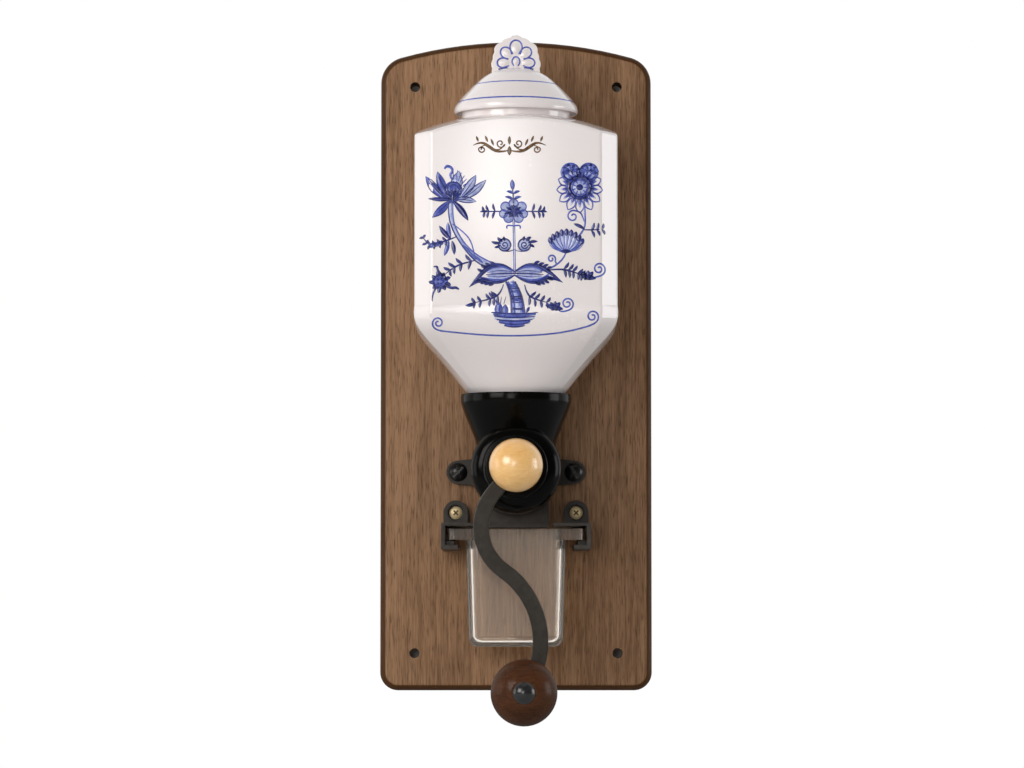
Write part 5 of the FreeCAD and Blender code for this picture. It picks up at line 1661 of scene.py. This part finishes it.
@dataclass
class SoftBox:
    """A soft studio lamp that looks at the mill."""

    name: str
    place: Place
    target: Place
    sides: Point
    power: float
    colour: Colour = WHITE

    def make(self) -> None:
        """Hang the lamp and turn it to its target."""
        lamp = bpy.data.lights.new(self.name, "AREA")
        lamp.shape = "RECTANGLE"
        lamp.size, lamp.size_y = self.sides
        lamp.energy = self.power
        lamp.color = self.colour
        aim(show(self.name, lamp), self.place, self.target)


@dataclass
class Studio:
    """The camera at the photograph's place, soft lamps, a white surround and a pale floor."""

    eye: Place = (0.0, -2.368, -0.1435)
    target: Place = (-0.0022, -0.018, -0.0083)
    lens: float = 149.5
    sight: float = 50.0
    floor_drop: float = 0.3
    floor_side: float = 4.4
    holes: tuple[Point, ...] = ((-0.056, -0.157), (-0.056, 0.157), (0.056, -0.157), (0.056, 0.157))
    patch_radius: float = 0.0028
    patch_corners: int = 32
    patch_gap: float = 0.0003
    ambient: float = 0.47
    front_sheen: float = 0.06
    sheen_span: Point = (-0.4, 0.9)
    lamps: tuple[SoftBox, ...] = (
        SoftBox("key_left", (-0.8, -1.0, 0.32), (0.0, -0.06, 0.0), (0.6, 0.6), 6.6, (1.0, 0.97, 0.94)),
        SoftBox("front_left", (-0.34, -1.9, 0.12), (0.0, -0.02, 0.0), (0.44, 0.6), 4.0, (1.0, 0.98, 0.96)),
        SoftBox("window", (-0.017, -1.9, 0.287), (0.0, -0.1, 0.08), (0.045, 0.13), 0.26),
        SoftBox("side_left", (-1.2, -0.12, 0.05), (0.0, -0.08, 0.03), (0.5, 0.6), 1.4),
        SoftBox("side_right", (1.2, -0.12, 0.05), (0.0, -0.08, 0.03), (0.5, 0.6), 3.2),
        SoftBox("top", (0.0, -0.55, 1.3), (0.0, -0.06, 0.0), (0.8, 0.5), 0.5),
    )

    def make(self) -> None:
        """Set the whole studio and the plain view transform."""
        self.make_camera()
        self.make_world()
        self.make_surroundings()
        for lamp in self.lamps:
            lamp.make()
        bpy.context.scene.view_settings.view_transform = "Standard"

    def make_camera(self) -> None:
        """Set the camera at the photograph's viewing point."""
        camera = bpy.data.cameras.new("photo_camera")
        camera.lens = self.lens
        camera.clip_end = self.sight
        bpy.context.scene.camera = show("photo_camera", camera)
        aim(bpy.context.scene.camera, self.eye, self.target)

    def make_world(self) -> None:
        """A surround that is white to the eye, through glass and in mirrors, and dim behind the camera."""
        world = bpy.data.worlds.new("studio_white")
        world.use_nodes = True
        world.node_tree.nodes.clear()
        graph = NodeGraph(world.node_tree)
        seen, glossy = seen_or_through(graph)
        forward = graph.part(graph.add("ShaderNodeTexCoord").outputs["Generated"], 1)
        mirrored = graph.span(forward, *self.sheen_span, self.front_sheen - self.ambient, 1.0 - self.ambient)
        rest = graph.math("ADD", graph.math("MULTIPLY", glossy, mirrored), self.ambient)
        level = graph.math("MAXIMUM", seen, rest)
        light = graph.add("ShaderNodeBackground", {"Color": WHITE, "Strength": level})
        graph.add("ShaderNodeOutputWorld", {"Surface": light.outputs[0]})
        bpy.context.scene.world = world

    def make_sheet(self, name: str, corners: int, radius: float, place: Matrix, finish: Finish) -> None:
        """Make a flat sheet of the surroundings.

        Args:
            name: The sheet's name.
            corners: How many corners it has.
            radius: How far they are from its middle, in metres.
            place: Where it lies.
            finish: Its finish.
        """
        bm = bmesh.new()
        bmesh.ops.create_circle(bm, cap_ends=True, segments=corners, radius=radius)
        bmesh.ops.transform(bm, matrix=place, verts=bm.verts)
        sheet = show(name, to_mesh(name, bm))
        finish.dress(sheet)

    def make_surroundings(self) -> None:
        """A pale floor below the mill, and a patch of wall behind each of the board's screw holes."""
        level = Matrix.Translation((0.0, 0.0, -self.floor_drop)) @ Matrix.Rotation(math.pi / 4, 4, "Z")
        self.make_sheet("studio_floor", 4, self.floor_side / math.sqrt(2.0), level, FLOOR_WHITE)
        for index, (across, rise) in enumerate(self.holes):
            upright = Matrix.Translation((across, self.patch_gap, rise)) @ Matrix.Rotation(QUARTER, 4, "X")
            self.make_sheet(f"wall_patch_{index}", self.patch_corners, self.patch_radius, upright, WALL_PAINT)


def dress_frame() -> None:
    """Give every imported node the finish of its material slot."""
    for row in frame["record"]["subparts"]:
        SLOT_FINISHES[row["material_slot"]].dress(frame["nodes"][row["node"]])
        LOG.info("dressed %s as %s", row["node"], row["material_slot"])


def main() -> None:
    """Build the mill's pieces in order, dress them and set the studio."""
    logging.basicConfig(level=logging.INFO, format="%(name)s: %(message)s")
    dress_frame()
    for edges in SOFT_EDGES:
        edges.make()
    MillTrim().make()
    BeanJar().paint()
    JarLid().make()
    Studio().make()


if __name__ == "__main__":
    main()
